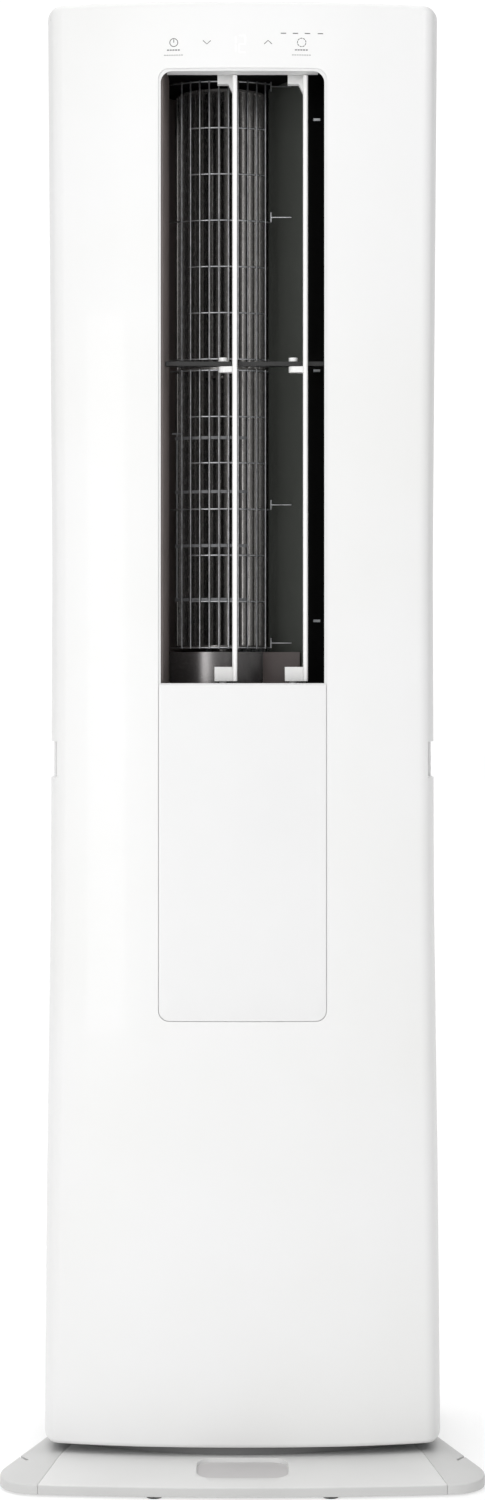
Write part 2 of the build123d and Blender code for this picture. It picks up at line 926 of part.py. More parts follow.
# T-shaped hooks on the right wall that hold the ends of the guards
hook_heights = [
    upper_guard_bottom + 3 * guard_row_pitch + hook_rise,
    upper_guard_bottom + 6 * guard_row_pitch - hook_drop,
    lower_guard_bottom + 3 * guard_row_pitch + hook_rise,
    lower_guard_bottom + hook_rise,
]
with BuildPart() as guard_hooks:
    for height in hook_heights:
        with BuildSketch(Plane(origin=(hook_x, y_at(hook_depth), height), z_dir=(1, 0, 0))):
            RegularPolygon(hook_wire / 2, wire_sides)
        extrude(amount=hook_reach)
        tick_low = min(hook_tick / 2, ceiling_height - height - 1)
        with BuildSketch(Plane(origin=(hook_x, y_at(hook_depth), height - hook_tick / 2))):
            RegularPolygon(hook_wire / 2, wire_sides)
        extrude(amount=hook_tick / 2 + tick_low)
save(guard_hooks, "guard_hooks")

# Flat hoops behind the lower guard, joined by an upright rod with a T-shaped end
with BuildPart() as hoop_guard:
    hoop_radius = guard_radius - wire_width - seat_gap - hoop_thickness / 2
    for hoop in range(hoop_count):
        with BuildSketch(Plane.XY.offset(hoop_bottom + hoop * hoop_pitch - hoop_height / 2)):
            with BuildLine():
                ThreePointArc(
                    fan_point(hoop_left_turn, hoop_radius),
                    fan_point((hoop_left_turn + hoop_right_turn) / 2, hoop_radius),
                    fan_point(hoop_right_turn, hoop_radius),
                )
            trace(line_width=hoop_thickness)
        extrude(amount=hoop_height)
    rod_place = fan_point(hoop_left_turn + 1, hoop_radius - rod_radius)
    rod_top = hoop_bottom + (hoop_count - 1) * hoop_pitch + rod_rise
    with BuildSketch(Plane.XY.offset(hoop_bottom - hoop_height / 2)):
        with Locations(rod_place):
            RegularPolygon(rod_radius, wire_sides)
    extrude(amount=rod_top - hoop_bottom + hoop_height / 2)
    with BuildSketch(Plane(origin=(rod_place[0] - rod_rise, rod_place[1], rod_top), z_dir=(1, 0, 0))):
        RegularPolygon(rod_radius, wire_sides)
    extrude(amount=2 * rod_rise)
save(hoop_guard, "hoop_guard")


# A louver: a blade beside its pivot, with pivot blocks at the ends and a pinned arm at the crossbar
def louver(pivot_x, shaft_top):
    blade_x = pivot_x + louver_offset
    pivot = (pivot_x, louver_y)
    bar_bottom = crossbar_height
    bar_top = crossbar_height + crossbar_thickness
    with BuildPart() as part:
        with BuildSketch(Plane.XY.offset(louver_bottom)):
            with Locations((blade_x, louver_y - louver_reach_front)):
                Circle(louver_front_thickness / 2)
            with Locations((blade_x, louver_y + louver_reach_back)):
                Circle(louver_back_thickness / 2)
            make_hull()
        extrude(amount=louver_top - louver_bottom)
        block(
            (blade_x - louver_front_thickness, louver_y - notch_front, bar_bottom - 3 * slide_gap),
            (blade_x + louver_front_thickness, louver_y + louver_depth, bar_top + notch_rise),
            Mode.SUBTRACT,
        )
        with BuildSketch(Plane.XY.offset(bar_bottom - slide_gap - wedge_height)):
            with Locations(pivot):
                Circle(louver_boss_radius)
            with Locations((blade_x, louver_y)):
                Rectangle(louver_back_thickness, louver_offset)
            make_hull()
        extrude(amount=wedge_height)
        upright(*pivot, bar_bottom - 1, bar_top + slide_gap + 1, louver_shaft_radius)
        upright(*pivot, bar_top + slide_gap, bar_top + slide_gap + pin_cap_height, louver_boss_radius)
        with BuildSketch(Plane.XZ.offset(-louver_y - bracket_depth / 2)):
            with BuildLine():
                Polyline(
                    (pivot_x - bracket_left, louver_top + bracket_lift),
                    (blade_x, louver_top + bracket_lift),
                    (blade_x, louver_top + bracket_lift - top_gusset_height),
                    (pivot_x + bracket_left, louver_top + bracket_lift - top_bracket_height),
                    (pivot_x - bracket_left, louver_top + bracket_lift - top_bracket_height),
                    close=True,
                )
            make_face()
        extrude(amount=bracket_depth)
        boss_top = ceiling_height - slide_gap
        upright(*pivot, louver_top + bracket_lift - 1, boss_top, louver_boss_radius)
        upright(*pivot, boss_top - 1, ceiling_top + slide_gap + 1, louver_shaft_radius)
        with BuildSketch(Plane.XY.offset(ceiling_top + slide_gap)):
            with Locations(pivot, (pivot_x, louver_y + crank_length)):
                Circle(louver_boss_radius - 1)
            make_hull()
        extrude(amount=crank_thickness)
        crank_top = ceiling_top + slide_gap + crank_thickness
        upright(
            pivot_x, louver_y + crank_length, crank_top - 1, crank_top + link_thickness + 1, crank_pin_radius
        )
        if shaft_top > crank_top:
            upright(*pivot, crank_top - 1, shaft_top, motor_pin_radius)
        block(
            (pivot_x - bottom_block_left, louver_y - bottom_block_left, louver_bottom),
            (blade_x, louver_y + bottom_block_left, louver_bottom + bottom_block_height),
        )
        upright(*pivot, floor_top + slide_gap, louver_bottom + 1, louver_boss_radius - 1)
        upright(*pivot, floor_height + slide_gap, floor_top + 1, louver_shaft_radius)
    return part


louver_motor_bottom = ceiling_top + louver_motor_lift
save(louver(left_louver_x, louver_motor_bottom + louver_motor_height / 3), "left_louver")
save(louver(right_louver_x, 0), "right_louver")

# Link bar between the cranks of the louvers
with BuildPart() as louver_link:
    with BuildSketch(Plane.XY.offset(ceiling_top + slide_gap + crank_thickness + slide_gap)):
        with Locations((left_louver_x, louver_y + crank_length), (right_louver_x, louver_y + crank_length)):
            Circle(link_width / 2)
        make_hull()
        with Locations((left_louver_x, louver_y + crank_length)):
            Circle(crank_pin_radius + shaft_gap, mode=Mode.SUBTRACT)
        with Locations((right_louver_x, louver_y + crank_length)):
            Circle(crank_pin_radius + seat_gap, mode=Mode.SUBTRACT)
    extrude(amount=link_thickness)
save(louver_link, "louver_link")

# Motor over the left louver, on two posts
with BuildPart() as louver_motor:
    upright(
        left_louver_x,
        louver_y,
        louver_motor_bottom,
        louver_motor_bottom + louver_motor_height,
        louver_motor_radius,
    )
    with BuildSketch(Plane.XY.offset(louver_motor_bottom)):
        with Locations((left_louver_x - motor_ear, louver_y), (left_louver_x + motor_ear, louver_y)):
            Circle(motor_post_radius + 1)
        make_hull()
    extrude(amount=crank_thickness)
    for x in (left_louver_x - motor_ear, left_louver_x + motor_ear):
        upright(x, louver_y, ceiling_top + seat_gap, louver_motor_bottom + 1, motor_post_radius)
    upright(
        left_louver_x,
        louver_y,
        louver_motor_bottom - 1,
        louver_motor_bottom + louver_motor_height / 2,
        motor_pin_radius + shaft_gap,
        Mode.SUBTRACT,
    )
save(louver_motor, "louver_motor")

# Crossbar that carries the middle of the louvers
with BuildPart() as crossbar:
    block(
        (crossbar_left_x, louver_y - crossbar_depth / 2, crossbar_height),
        (
            channel_cover_x - rail_thickness / 2 - seat_gap,
            louver_y + crossbar_depth / 2,
            crossbar_height + crossbar_thickness,
        ),
    )
    for x in (left_louver_x, right_louver_x):
        upright(x, louver_y, 0, cabinet_height, louver_shaft_radius + shaft_gap, Mode.SUBTRACT)
save(crossbar, "crossbar")

# Cross-flow fan: curved blades between discs, a hub for the shaft and a stub at the top
with BuildLine() as blade_line:
    ThreePointArc(
        (fan_radius - fan_blade_thickness, 0),
        (fan_radius - fan_blade_depth / 2, fan_blade_depth / 4),
        (fan_radius - fan_blade_depth, fan_blade_depth * 0.7),
    )
with BuildSketch() as fan_blade:
    with BuildLine():
        Polyline(*strip(blade_line.wire(), fan_blade_steps, fan_blade_thickness), close=True)
    make_face()
with BuildPart() as cross_flow_fan:
    with BuildSketch(Plane.XY.offset(fan_bottom + fan_disc / 2)):
        with Locations((fan_x, fan_y)):
            with PolarLocations(0, fan_blade_count):
                add(fan_blade.sketch)
    extrude(amount=fan_top - fan_bottom - fan_disc)
    for bottom in (fan_bottom, fan_top - fan_disc):
        upright(fan_x, fan_y, bottom, bottom + fan_disc, fan_radius)
    fan_middle = (fan_bottom + fan_top) / 2
    with BuildSketch(Plane.XY.offset(fan_middle - fan_disc / 2)):
        with Locations((fan_x, fan_y)):
            Circle(fan_radius)
            Circle(fan_radius - fan_blade_depth - fan_disc, mode=Mode.SUBTRACT)
    extrude(amount=fan_disc)
    upright(fan_x, fan_y, fan_bottom - fan_hub_drop, fan_bottom + 1, fan_hub_radius)
    upright(
        fan_x, fan_y, fan_bottom - fan_hub_drop - 1, fan_bottom, fan_shaft_radius + shaft_gap, Mode.SUBTRACT
    )
    upright(fan_x, fan_y, fan_top - 1, bearing_bottom + bearing_height, fan_stub_radius)
save(cross_flow_fan, "cross_flow_fan")

# Shaft of the fan, its bearing and the rubber seat of the bearing
with BuildPart() as fan_shaft:
    upright(fan_x, fan_y, motor_top - motor_shaft_sink, fan_bottom - 2, fan_shaft_radius)
save(fan_shaft, "fan_shaft")
with BuildPart() as fan_bearing:
    upright(fan_x, fan_y, bearing_bottom, bearing_bottom + bearing_height, bearing_radius)
    upright(fan_x, fan_y, 0, cabinet_height, fan_stub_radius + shaft_gap, Mode.SUBTRACT)
save(fan_bearing, "fan_bearing")
with BuildPart() as bearing_seat:
    upright(fan_x, fan_y, bearing_bottom, ceiling_top + seat_gap + 1, bearing_seat_radius)
    upright(
        fan_x, fan_y, ceiling_top + seat_gap, bearing_bottom + bearing_height, bearing_seat_radius + seat_flange
    )
    upright(fan_x, fan_y, 0, cabinet_height, bearing_radius + shaft_gap, Mode.SUBTRACT)
save(bearing_seat, "bearing_seat")

# Motor of the fan, and the bracket that hangs it from the duct floor
with BuildPart() as fan_motor:
    upright(fan_x, fan_y, motor_top - motor_height, motor_top, motor_radius)
    upright(fan_x, fan_y, motor_top - 1, motor_top + motor_boss_height, motor_boss_radius)
    chamfer(edges().filter_by(GeomType.CIRCLE).sort_by(Axis.Z)[0], length=motor_edge)
    upright(
        fan_x,
        fan_y,
        motor_top - motor_shaft_sink - slide_gap,
        cabinet_height,
        fan_shaft_radius + shaft_gap,
        Mode.SUBTRACT,
    )
save(fan_motor, "fan_motor")
with BuildPart() as motor_bracket:
    upright(fan_x, fan_y, motor_top + seat_gap, motor_top + seat_gap + bracket_thickness, motor_radius)
    upright(fan_x, fan_y, 0, cabinet_height, motor_boss_radius + 1, Mode.SUBTRACT)
    with Locations((fan_x, fan_y, (motor_top + bracket_thickness / 2 + floor_height) / 2)):
        with PolarLocations(bracket_post_circle, 4, start_angle=45):
            Cylinder(bracket_post_radius, floor_height - motor_top - bracket_thickness / 2 - 2 * seat_gap)
save(motor_bracket, "motor_bracket")

# Evaporator: fin block, end plates, tube bends, and the pan that catches the water
coil_left = coil_x - coil_width / 2
coil_right = coil_x + coil_width / 2
coil_far = coil_depth + coil_thickness
with BuildPart() as evaporator_fins:
    block((coil_left, y_at(coil_depth), coil_bottom), (coil_right, y_at(coil_far), coil_top))
save(evaporator_fins, "evaporator_fins")
with BuildPart() as coil_end_plates:
    for near_x, far_x, outward in (
        (coil_left - seat_gap - end_plate, coil_left - seat_gap, -1),
        (coil_right + seat_gap, coil_right + seat_gap + end_plate, 1),
    ):
        block((near_x, y_at(coil_depth), coil_bottom), (far_x, y_at(coil_far), coil_top))
        for depth in (coil_depth, coil_far - end_plate):
            block(
                (min(near_x, near_x + outward * end_plate_lip), y_at(depth), coil_bottom),
                (max(far_x, far_x + outward * end_plate_lip), y_at(depth + end_plate), coil_top),
            )
save(coil_end_plates, "coil_end_plates")

bend_start = coil_right + 2 * seat_gap + end_plate
stub_start = coil_left - 2 * seat_gap - end_plate
row_half = coil_row_spacing / 2
coil_middle = coil_depth + coil_thickness / 2
coil_heights = [header_bottom + coil_header_end + bend * coil_bend_pitch for bend in range(coil_bend_count)]
with BuildPart() as coil_bends:
    for height in coil_heights:
        with BuildSketch(Plane.XY.offset(height - coil_tube_radius)):
            with BuildLine():
                leg_end = bend_start + coil_tube_radius
                near_leg = Line((bend_start, y_at(coil_middle - row_half)), (leg_end, y_at(coil_middle - row_half)))
                far_leg = JernArc(near_leg @ 1, (1, 0), row_half, 180)
                Line(far_leg @ 1, (bend_start, y_at(coil_middle + row_half)))
            trace(line_width=2 * coil_tube_radius)
        extrude(amount=2 * coil_tube_radius)
save(coil_bends, "coil_bends")
with BuildPart() as drain_pan:
    pan_bottom = floor_top + seat_gap
    pan_low = (coil_left - pan_side_rim, y_at(coil_depth - pan_rim), pan_bottom)
    block(pan_low, (coil_right + pan_side_rim, y_at(coil_far + pan_rim), pan_bottom + pan_height))
    block(
        (coil_left - pan_side_rim + pan_wall, y_at(coil_depth - pan_rim + pan_wall), pan_bottom + pan_wall),
        (coil_right + pan_side_rim - pan_wall, y_at(coil_far + pan_rim - pan_wall), coil_bottom + pan_height),
        Mode.SUBTRACT,
    )
    for part in (0.25, 0.5, 0.75):
        rib_x = coil_left + part * coil_width
        block(
            (rib_x, y_at(coil_depth), pan_bottom + 1),
            (rib_x + pan_wall, y_at(coil_far), coil_bottom - seat_gap),
        )
    upright(drain_x, y_at(drain_depth), 0, coil_bottom, drain_radius - pan_wall, Mode.SUBTRACT)
save(drain_pan, "drain_pan")


# A pipe that comes down at a place, turns to the back and ends round behind the port
def pipe(x, depth, height, start_planes, radius):
    turn_radius = pipe_turn_depth - depth
    planes = list(start_planes)
    for step in range(bend_steps + 1):
        turn = math.radians(90 * step / bend_steps)
        y = y_at(pipe_turn_depth) - turn_radius * math.cos(turn)
        z = height + turn_radius * (1 - math.sin(turn))
        along = (0, math.sin(turn), -math.cos(turn))
        planes.append(Plane(origin=(x, y, z), x_dir=(1, 0, 0), z_dir=along))
    planes.append(Plane(origin=(x, y_at(round_stub_depth), height), x_dir=(1, 0, 0), z_dir=(0, 1, 0)))
    with BuildPart() as tube:
        add(bent_bar(planes, radius, pipe_sides))
        add(bent_bar(planes, radius - pipe_wall, pipe_sides), mode=Mode.SUBTRACT)
        with BuildSketch(plane_at(round_stub_depth)):
            with Locations((x, height)):
                Circle(radius)
                Circle(radius - pipe_wall, mode=Mode.SUBTRACT)
        extrude(amount=round_stub_depth - pipe_end_depth)
    return tube


# The plane across the top end of a pipe that starts upright
def pipe_top(x, depth, top):
    return Plane(origin=(x, y_at(depth), top), x_dir=(1, 0, 0), z_dir=(0, 0, -1))


with BuildPart() as gas_pipe:
    gas_start = [pipe_top(gas_x, gas_depth, header_bottom + 1)]
    add(pipe(gas_x, gas_depth, gas_height, gas_start, gas_radius).part)
    upright(gas_x, y_at(gas_depth), header_bottom, header_top, header_radius)
    for height in coil_heights:
        with BuildSketch(Plane(origin=(gas_x, y_at(gas_depth), height), z_dir=(1, 0, 0))):
            RegularPolygon(coil_tube_radius, wire_sides)
        extrude(amount=stub_start - gas_x)
save(gas_pipe, "gas_pipe")
drain_start = [pipe_top(drain_x, drain_depth, floor_top)]
save(pipe(drain_x, drain_depth, drain_height, drain_start, drain_radius), "drain_pipe")
liquid_start = [Plane((stub_start, y_at(liquid_depth), liquid_top), x_dir=(0, 0, -1), z_dir=(-1, 0, 0))]
for step in range(bend_steps + 1):
    turn = math.radians(90 - 90 * step / bend_steps)
    x = liquid_x + liquid_elbow * (1 - math.cos(turn))
    z = liquid_top - liquid_elbow * (1 - math.sin(turn))
    across = (math.cos(turn), 0, -math.sin(turn))
    along = (-math.sin(turn), 0, -math.cos(turn))
    liquid_start.append(Plane(origin=(x, y_at(liquid_depth), z), x_dir=across, z_dir=along))
save(pipe(liquid_x, liquid_depth, liquid_height, liquid_start, liquid_radius), "liquid_pipe")

# Tray in the back that the pipes come out of
with BuildPart() as pipe_port:
    port_middle = (port_x, port_bottom + port_height / 2)
    with BuildSketch(plane_at(cabinet_depth - port_sink)):
        with Locations(port_middle):
            RectangleRounded(port_width - 2 * seam_gap, port_height - 2 * seam_gap, port_corner)
    extrude(amount=-port_sink)
    with BuildSketch(plane_at(cabinet_depth - skin - seat_gap - port_wall)):
        with Locations(port_middle):
            RectangleRounded(port_width + port_flange, port_height + port_flange, port_corner)
    extrude(amount=-port_wall)
    with BuildSketch(plane_at(cabinet_depth - port_sink + port_wall)):
        with Locations(port_middle):
            RectangleRounded(
                port_width - 2 * port_wall, port_height - 2 * port_wall, port_corner - port_wall + seam_gap
            )
    extrude(amount=-port_sink, mode=Mode.SUBTRACT)
    with BuildSketch(plane_at(cabinet_depth - port_sink - 1)):
        for x, height, radius in (
            (gas_x, gas_height, gas_radius),
            (liquid_x, liquid_height, liquid_radius),
            (drain_x, drain_height, drain_radius),
        ):
            with Locations((x, height)):
                Circle(radius + seat_gap)
    extrude(amount=-port_sink, mode=Mode.SUBTRACT)
save(pipe_port, "pipe_port")

# Frame that the filters slide in, fixed to the inside of the rear casing
post_outer = -filter_left_x + 4 * pan_wall
with BuildPart() as filter_frame:
    frame_front = y_at(filter_depth - frame_lip)
    frame_back = y_at(filter_depth + filter_thickness + frame_lip)
    for low_x, high_x in ((-post_outer, filter_left_x - pan_wall), (-filter_left_x + pan_wall, post_outer)):
        block((low_x, frame_front, post_low), (high_x, y_at(cabinet_depth - skin - seat_gap), post_top))
    for row in range(3):
        rail_middle = filter_bottom + row * filter_pitch - (filter_pitch - filter_height) / 2
        block(
            (-post_outer, frame_front, rail_middle - filter_rib * 2),
            (post_outer, frame_back, rail_middle + filter_rib * 2),
        )
    for row in range(2):
        slit_bottom = filter_bottom + row * filter_pitch
        block(
            (filter_left_x - seat_gap, y_at(filter_depth - slide_gap), slit_bottom - slide_gap),
            (wide, y_at(filter_depth + filter_thickness + slide_gap), slit_bottom + filter_height + slide_gap),
            Mode.SUBTRACT,
        )
save(filter_frame, "filter_frame")

# Air filters: a frame and ribs with a thin mesh between them, flush with the side of the casing
flush_form = cabinet_form(seat_gap)
window_width = (-2 * filter_left_x - filter_rib) / filter_columns - filter_rib
window_height = (filter_height - filter_rib) / filter_bays - filter_rib
mesh_near = (filter_thickness - filter_mesh) / 2
for row, name in enumerate(("lower_filter", "upper_filter")):
    bottom = filter_bottom + row * filter_pitch
    with BuildPart() as air_filter:
        block(
            (filter_left_x, y_at(filter_depth), bottom),
            (wide, y_at(filter_depth + filter_thickness), bottom + filter_height),
        )
        add(flush_form, mode=Mode.INTERSECT)
        for near, far in ((-1, mesh_near), (filter_thickness - mesh_near, filter_thickness + 1)):
            for column in range(filter_columns):
                for bay in range(filter_bays):
                    low_x = filter_left_x + filter_rib + column * (window_width + filter_rib)
                    low_z = bottom + filter_rib + bay * (window_height + filter_rib)
                    block(
                        (low_x, y_at(filter_depth + near), low_z),
                        (low_x + window_width, y_at(filter_depth + far), low_z + window_height),
                        Mode.SUBTRACT,
                    )
    save(air_filter, name)

# Intake grille, flush in the back with a flange behind the opening
with BuildPart() as intake_grille:
    intake_middle = (0, intake_bottom + intake_height / 2)
    with BuildSketch(plane_at(cabinet_depth - grille_thickness)):
        with Locations(intake_middle):
            RectangleRounded(
                intake_width - 2 * seam_gap, intake_height - 2 * seam_gap, intake_corner - seam_gap
            )
    extrude(amount=-grille_thickness)
    with BuildSketch(plane_at(cabinet_depth - skin - seat_gap - pan_wall)):
        with Locations(intake_middle):
            RectangleRounded(
                intake_width + 2 * grille_flange, intake_height + 2 * grille_flange, intake_corner + seam_gap
            )
    extrude(amount=-pan_wall)
    slot_pitch = intake_height / grille_rows
    with BuildSketch(plane_at(cabinet_depth - grille_flange)):
        with Locations(intake_middle):
            with GridLocations(grille_slot_width + grille_middle_rib, slot_pitch, 2, grille_rows):
                Rectangle(grille_slot_width, grille_slot_height)
    extrude(amount=-2 * grille_flange, mode=Mode.SUBTRACT)
save(intake_grille, "intake_grille")

# Electrical box on the back, and its lid
with BuildPart() as electrical_box:
    box_low = (box_x - box_width / 2, y_at(cabinet_depth - skin - seat_gap - box_depth), box_bottom)
    box_high = (box_x + box_width / 2, y_at(cabinet_depth - skin - seat_gap), box_bottom + box_height)
    block(box_low, box_high)
    block(
        (box_low[0] + box_wall, box_low[1] - 1, box_low[2] + box_wall),
        (box_high[0] - box_wall, box_high[1] - box_wall, box_high[2] - box_wall),
        Mode.SUBTRACT,
    )
save(electrical_box, "electrical_box")
with BuildPart() as box_lid:
    block(
        (box_low[0], box_low[1] - seat_gap - box_wall, box_low[2]),
        (box_high[0], box_low[1] - seat_gap, box_high[2]),
    )
save(box_lid, "box_lid")

# Control board behind the touch symbols with its display, and its carrier on the duct ceiling
with BuildPart() as control_board:
    block(
        (-board_width / 2, y_at(board_depth), board_bottom),
        (board_width / 2, y_at(board_depth + board_thickness), board_bottom + board_height),
    )
    block(
        (display_x - display_width / 2, y_at(display_near), board_bottom + 2),
        (display_x + display_width / 2, y_at(board_depth + 1), board_bottom + 2 + display_height),
    )
save(control_board, "control_board")
with BuildPart() as board_carrier:
    carrier_near = board_depth + board_thickness + seat_gap
    block(
        (-board_width / 2, y_at(carrier_near), ceiling_top + seat_gap),
        (board_width / 2, y_at(carrier_near + carrier_thickness), board_bottom + board_height),
    )
    block(
        (-board_width / 2, y_at(carrier_near), ceiling_top + seat_gap),
        (board_width / 2, y_at(carrier_near + carrier_foot), ceiling_top + seat_gap + carrier_thickness),
    )
save(board_carrier, "board_carrier")


# A face with the base's outline: a chain of arcs from the middle of the front, taken in steps and mirrored
def base_outline(height, apex, radius, half, corner, side_radius, side_end, rear_half, rear):
    first_turn = math.degrees(math.asin(half / radius))
    with BuildLine():
        front = JernArc((0, apex), (1, 0), radius, first_turn)
        bend = JernArc(front @ 1, front % 1, corner, base_corner_turn - first_turn)
        side = JernArc(bend @ 1, bend % 1, side_radius, side_end - base_corner_turn)
    points = []
    for arc, steps in ((front, base_front_steps), (bend, base_corner_steps), (side, base_side_steps)):
        points += [arc @ (step / steps) for step in range(steps)]
    points += [side @ 1, (rear_half, y_at(wing_end_depth)), (rear_half, rear), (0, rear)]
    with BuildSketch(Plane.XY.offset(height)) as outline:
        with BuildLine():
            Polyline(*points)
            mirror(about=Plane.YZ)
        make_face()
    return outline.sketch.face()


# The outer outline, shrunk by a wall
def outer_outline(height, wall):
    return base_outline(
        height,
        front_y - base_reach + wall,
        base_front_radius - wall,
        base_front_half,
        base_corner_radius - wall,
        base_side_radius - wall,
        base_side_turn,
        base_rear_width / 2 - wall,
        rear_y - wall,
    )


inner_outline = base_outline(
    base_top,
    front_y,
    front_radius,
    base_inner_half,
    base_inner_corner,
    base_inner_side,
    base_inner_turn,
    base_inner_rear,
    rear_y - plinth_setback,
)
with BuildPart() as base_form:
    loft([outer_outline(rim_height, 0), inner_outline], ruled=True)
    add(outer_outline(base_underside, 0))
    extrude(amount=rim_height - base_underside)

# Regions of the front piece and of one wing, met at the slanted seams
seam_lean = (seam_front_x - seam_back_x) / (base_reach + seam_bend_depth)
wing_back = y_at(wing_end_depth) - seam_gap / 2


def front_region(gap):
    return [
        (-seam_front_x - seam_lean * gap + gap, front_y - base_reach - gap),
        (seam_front_x + seam_lean * gap - gap, front_y - base_reach - gap),
        (seam_back_x - gap, y_at(seam_bend_depth)),
        (seam_back_x - gap, wing_back),
        (-seam_back_x + gap, wing_back),
        (-seam_back_x + gap, y_at(seam_bend_depth)),
    ]


def wing_region(side, gap):
    return [
        (side * (seam_front_x + gap), front_y - base_reach),
        (side * wide, front_y - base_reach),
        (side * wide, wing_back),
        (side * (seam_back_x + gap), wing_back),
        (side * (seam_back_x + gap), y_at(seam_bend_depth)),
    ]


# The hollow under a base piece: its region less a wall and a boss round each foot, with a hole for the foot
def underside_hollow(region, feet):
    with BuildPart() as hollow:
        with BuildSketch(Plane.XY.offset(base_underside - 1)):
            with BuildLine():
                Polyline(*region, close=True)
            make_face()
            offset(amount=-underside_wall, kind=Kind.INTERSECTION)
            add(outer_outline(0, underside_wall), mode=Mode.INTERSECT)
            for place in feet:
                with Locations(place):
                    Circle(foot_radius + foot_boss, mode=Mode.SUBTRACT)
        extrude(amount=underside_sink + 1)
        for x, y in feet:
            upright(x, y, 0, base_underside + foot_sink, foot_radius + seat_gap)
    return hollow.part


foot_places = {
    "base_front": [(-foot_front_x, y_at(foot_front_depth)), (foot_front_x, y_at(foot_front_depth))],
    "base_left_wing": [(-foot_wing_x, y_at(foot_wing_depth))],
    "base_right_wing": [(foot_wing_x, y_at(foot_wing_depth))],
    "base_rear": [(-foot_rear_x, y_at(foot_rear_depth)), (foot_rear_x, y_at(foot_rear_depth))],
}

# Front moulding of the base, with the rounded recess in its sloping top
slope_fall = (base_top - rim_height) / base_reach
slope_plane = Plane(
    origin=(0, y_at(-recess_depth), base_top - recess_depth * slope_fall),
    x_dir=(1, 0, 0),
    z_dir=(0, -slope_fall, 1),
)
with BuildPart() as base_front:
    add(base_form.part)
    with BuildSketch():
        with BuildLine():
            Polyline(*front_region(seam_gap / 2), close=True)
        make_face()
    extrude(amount=cabinet_underside, mode=Mode.INTERSECT)
    with BuildSketch(slope_plane.offset(-recess_sink)):
        RectangleRounded(recess_width, recess_length, recess_corner)
    extrude(amount=2 * recess_sink, mode=Mode.SUBTRACT)
    add(underside_hollow(front_region(seam_gap / 2), foot_places["base_front"]), mode=Mode.SUBTRACT)
save(base_front, "base_front")

# Wings of the base, with a slot each for a strap
for name, side in (("base_left_wing", -1), ("base_right_wing", 1)):
    with BuildPart() as wing:
        add(base_form.part)
        with BuildSketch():
            with BuildLine():
                Polyline(*wing_region(side, seam_gap / 2), close=True)
            make_face()
        extrude(amount=cabinet_underside, mode=Mode.INTERSECT)
        add(underside_hollow(wing_region(side, seam_gap / 2), foot_places[name]), mode=Mode.SUBTRACT)
        with BuildSketch():
            with Locations(Location((side * wing_slot_x, y_at(wing_slot_depth), 0), (0, 0, side * wing_slot_turn))):
                SlotOverall(wing_slot_length, wing_slot_width)
        extrude(amount=cabinet_underside, mode=Mode.SUBTRACT)
    save(wing, name)

# Rear part of the base, below the cabinet
with BuildPart() as base_rear:
    rear_region = [
        (-wide, wing_back + seam_gap),
        (wide, wing_back + seam_gap),
        (wide, rear_y),
        (-wide, rear_y),
    ]
    add(base_form.part)
    block((-wide, wing_back + seam_gap, 0), (wide, rear_y, cabinet_underside), Mode.INTERSECT)
    add(underside_hollow(rear_region, foot_places["base_rear"]), mode=Mode.SUBTRACT)
save(base_rear, "base_rear")

# Rubber feet
with BuildPart() as rubber_feet:
    for places in foot_places.values():
        for x, y in places:
            upright(x, y, 0, base_underside + foot_sink - seat_gap, foot_radius)
save(rubber_feet, "rubber_feet")

# Plinth between the base and the cabinet, set back from the front
with BuildPart() as plinth:
    plinth_fall = plinth_radius - math.sqrt(plinth_radius**2 - plinth_width**2 / 4)
    plinth_front = y_at(plinth_setback)
    with BuildSketch(Plane.XY.offset(base_top + seat_gap)):
        with BuildLine():
            ThreePointArc(
                (-plinth_width / 2, plinth_front + plinth_fall),
                (0, plinth_front),
                (plinth_width / 2, plinth_front + plinth_fall),
            )
            Polyline(
                (plinth_width / 2, plinth_front + plinth_fall),
                (plinth_width / 2, rear_y - plinth_rear_setback),
                (-plinth_width / 2, rear_y - plinth_rear_setback),
                (-plinth_width / 2, plinth_front + plinth_fall),
            )
        make_face()
    extrude(amount=plinth_top - base_top - seat_gap)
save(plinth, "plinth")

# Floor plate of the cabinet, on the plinth
with BuildPart() as floor_plate:
    block((-wide, y_at(0), plinth_top + seat_gap), (wide, rear_y, plinth_top + seat_gap + pan_plate))
    add(core_form, mode=Mode.INTERSECT)
save(floor_plate, "floor_plate")
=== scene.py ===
import bpy
import math
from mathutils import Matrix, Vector


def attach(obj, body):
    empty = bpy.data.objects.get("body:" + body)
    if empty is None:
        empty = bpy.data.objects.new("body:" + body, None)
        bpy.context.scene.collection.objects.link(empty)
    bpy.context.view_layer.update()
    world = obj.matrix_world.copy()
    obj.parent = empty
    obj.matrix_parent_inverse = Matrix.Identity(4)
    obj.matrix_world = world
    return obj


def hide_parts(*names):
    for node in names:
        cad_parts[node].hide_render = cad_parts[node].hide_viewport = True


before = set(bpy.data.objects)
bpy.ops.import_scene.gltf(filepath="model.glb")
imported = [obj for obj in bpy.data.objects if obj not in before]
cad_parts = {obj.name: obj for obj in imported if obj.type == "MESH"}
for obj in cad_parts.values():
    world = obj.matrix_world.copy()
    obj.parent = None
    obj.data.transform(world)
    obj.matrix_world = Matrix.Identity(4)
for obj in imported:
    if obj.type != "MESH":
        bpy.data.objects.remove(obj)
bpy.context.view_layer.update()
print("frame loaded")


# Colours are written as sRGB hex, the sockets want linear light
def toLinear(hexText):
    parts = [int(hexText[i:i + 2], 16) / 255 for i in (1, 3, 5)]
    return [p / 12.92 if p <= 0.04045 else ((p + 0.055) / 1.055) ** 2.4 for p in parts] + [1.0]


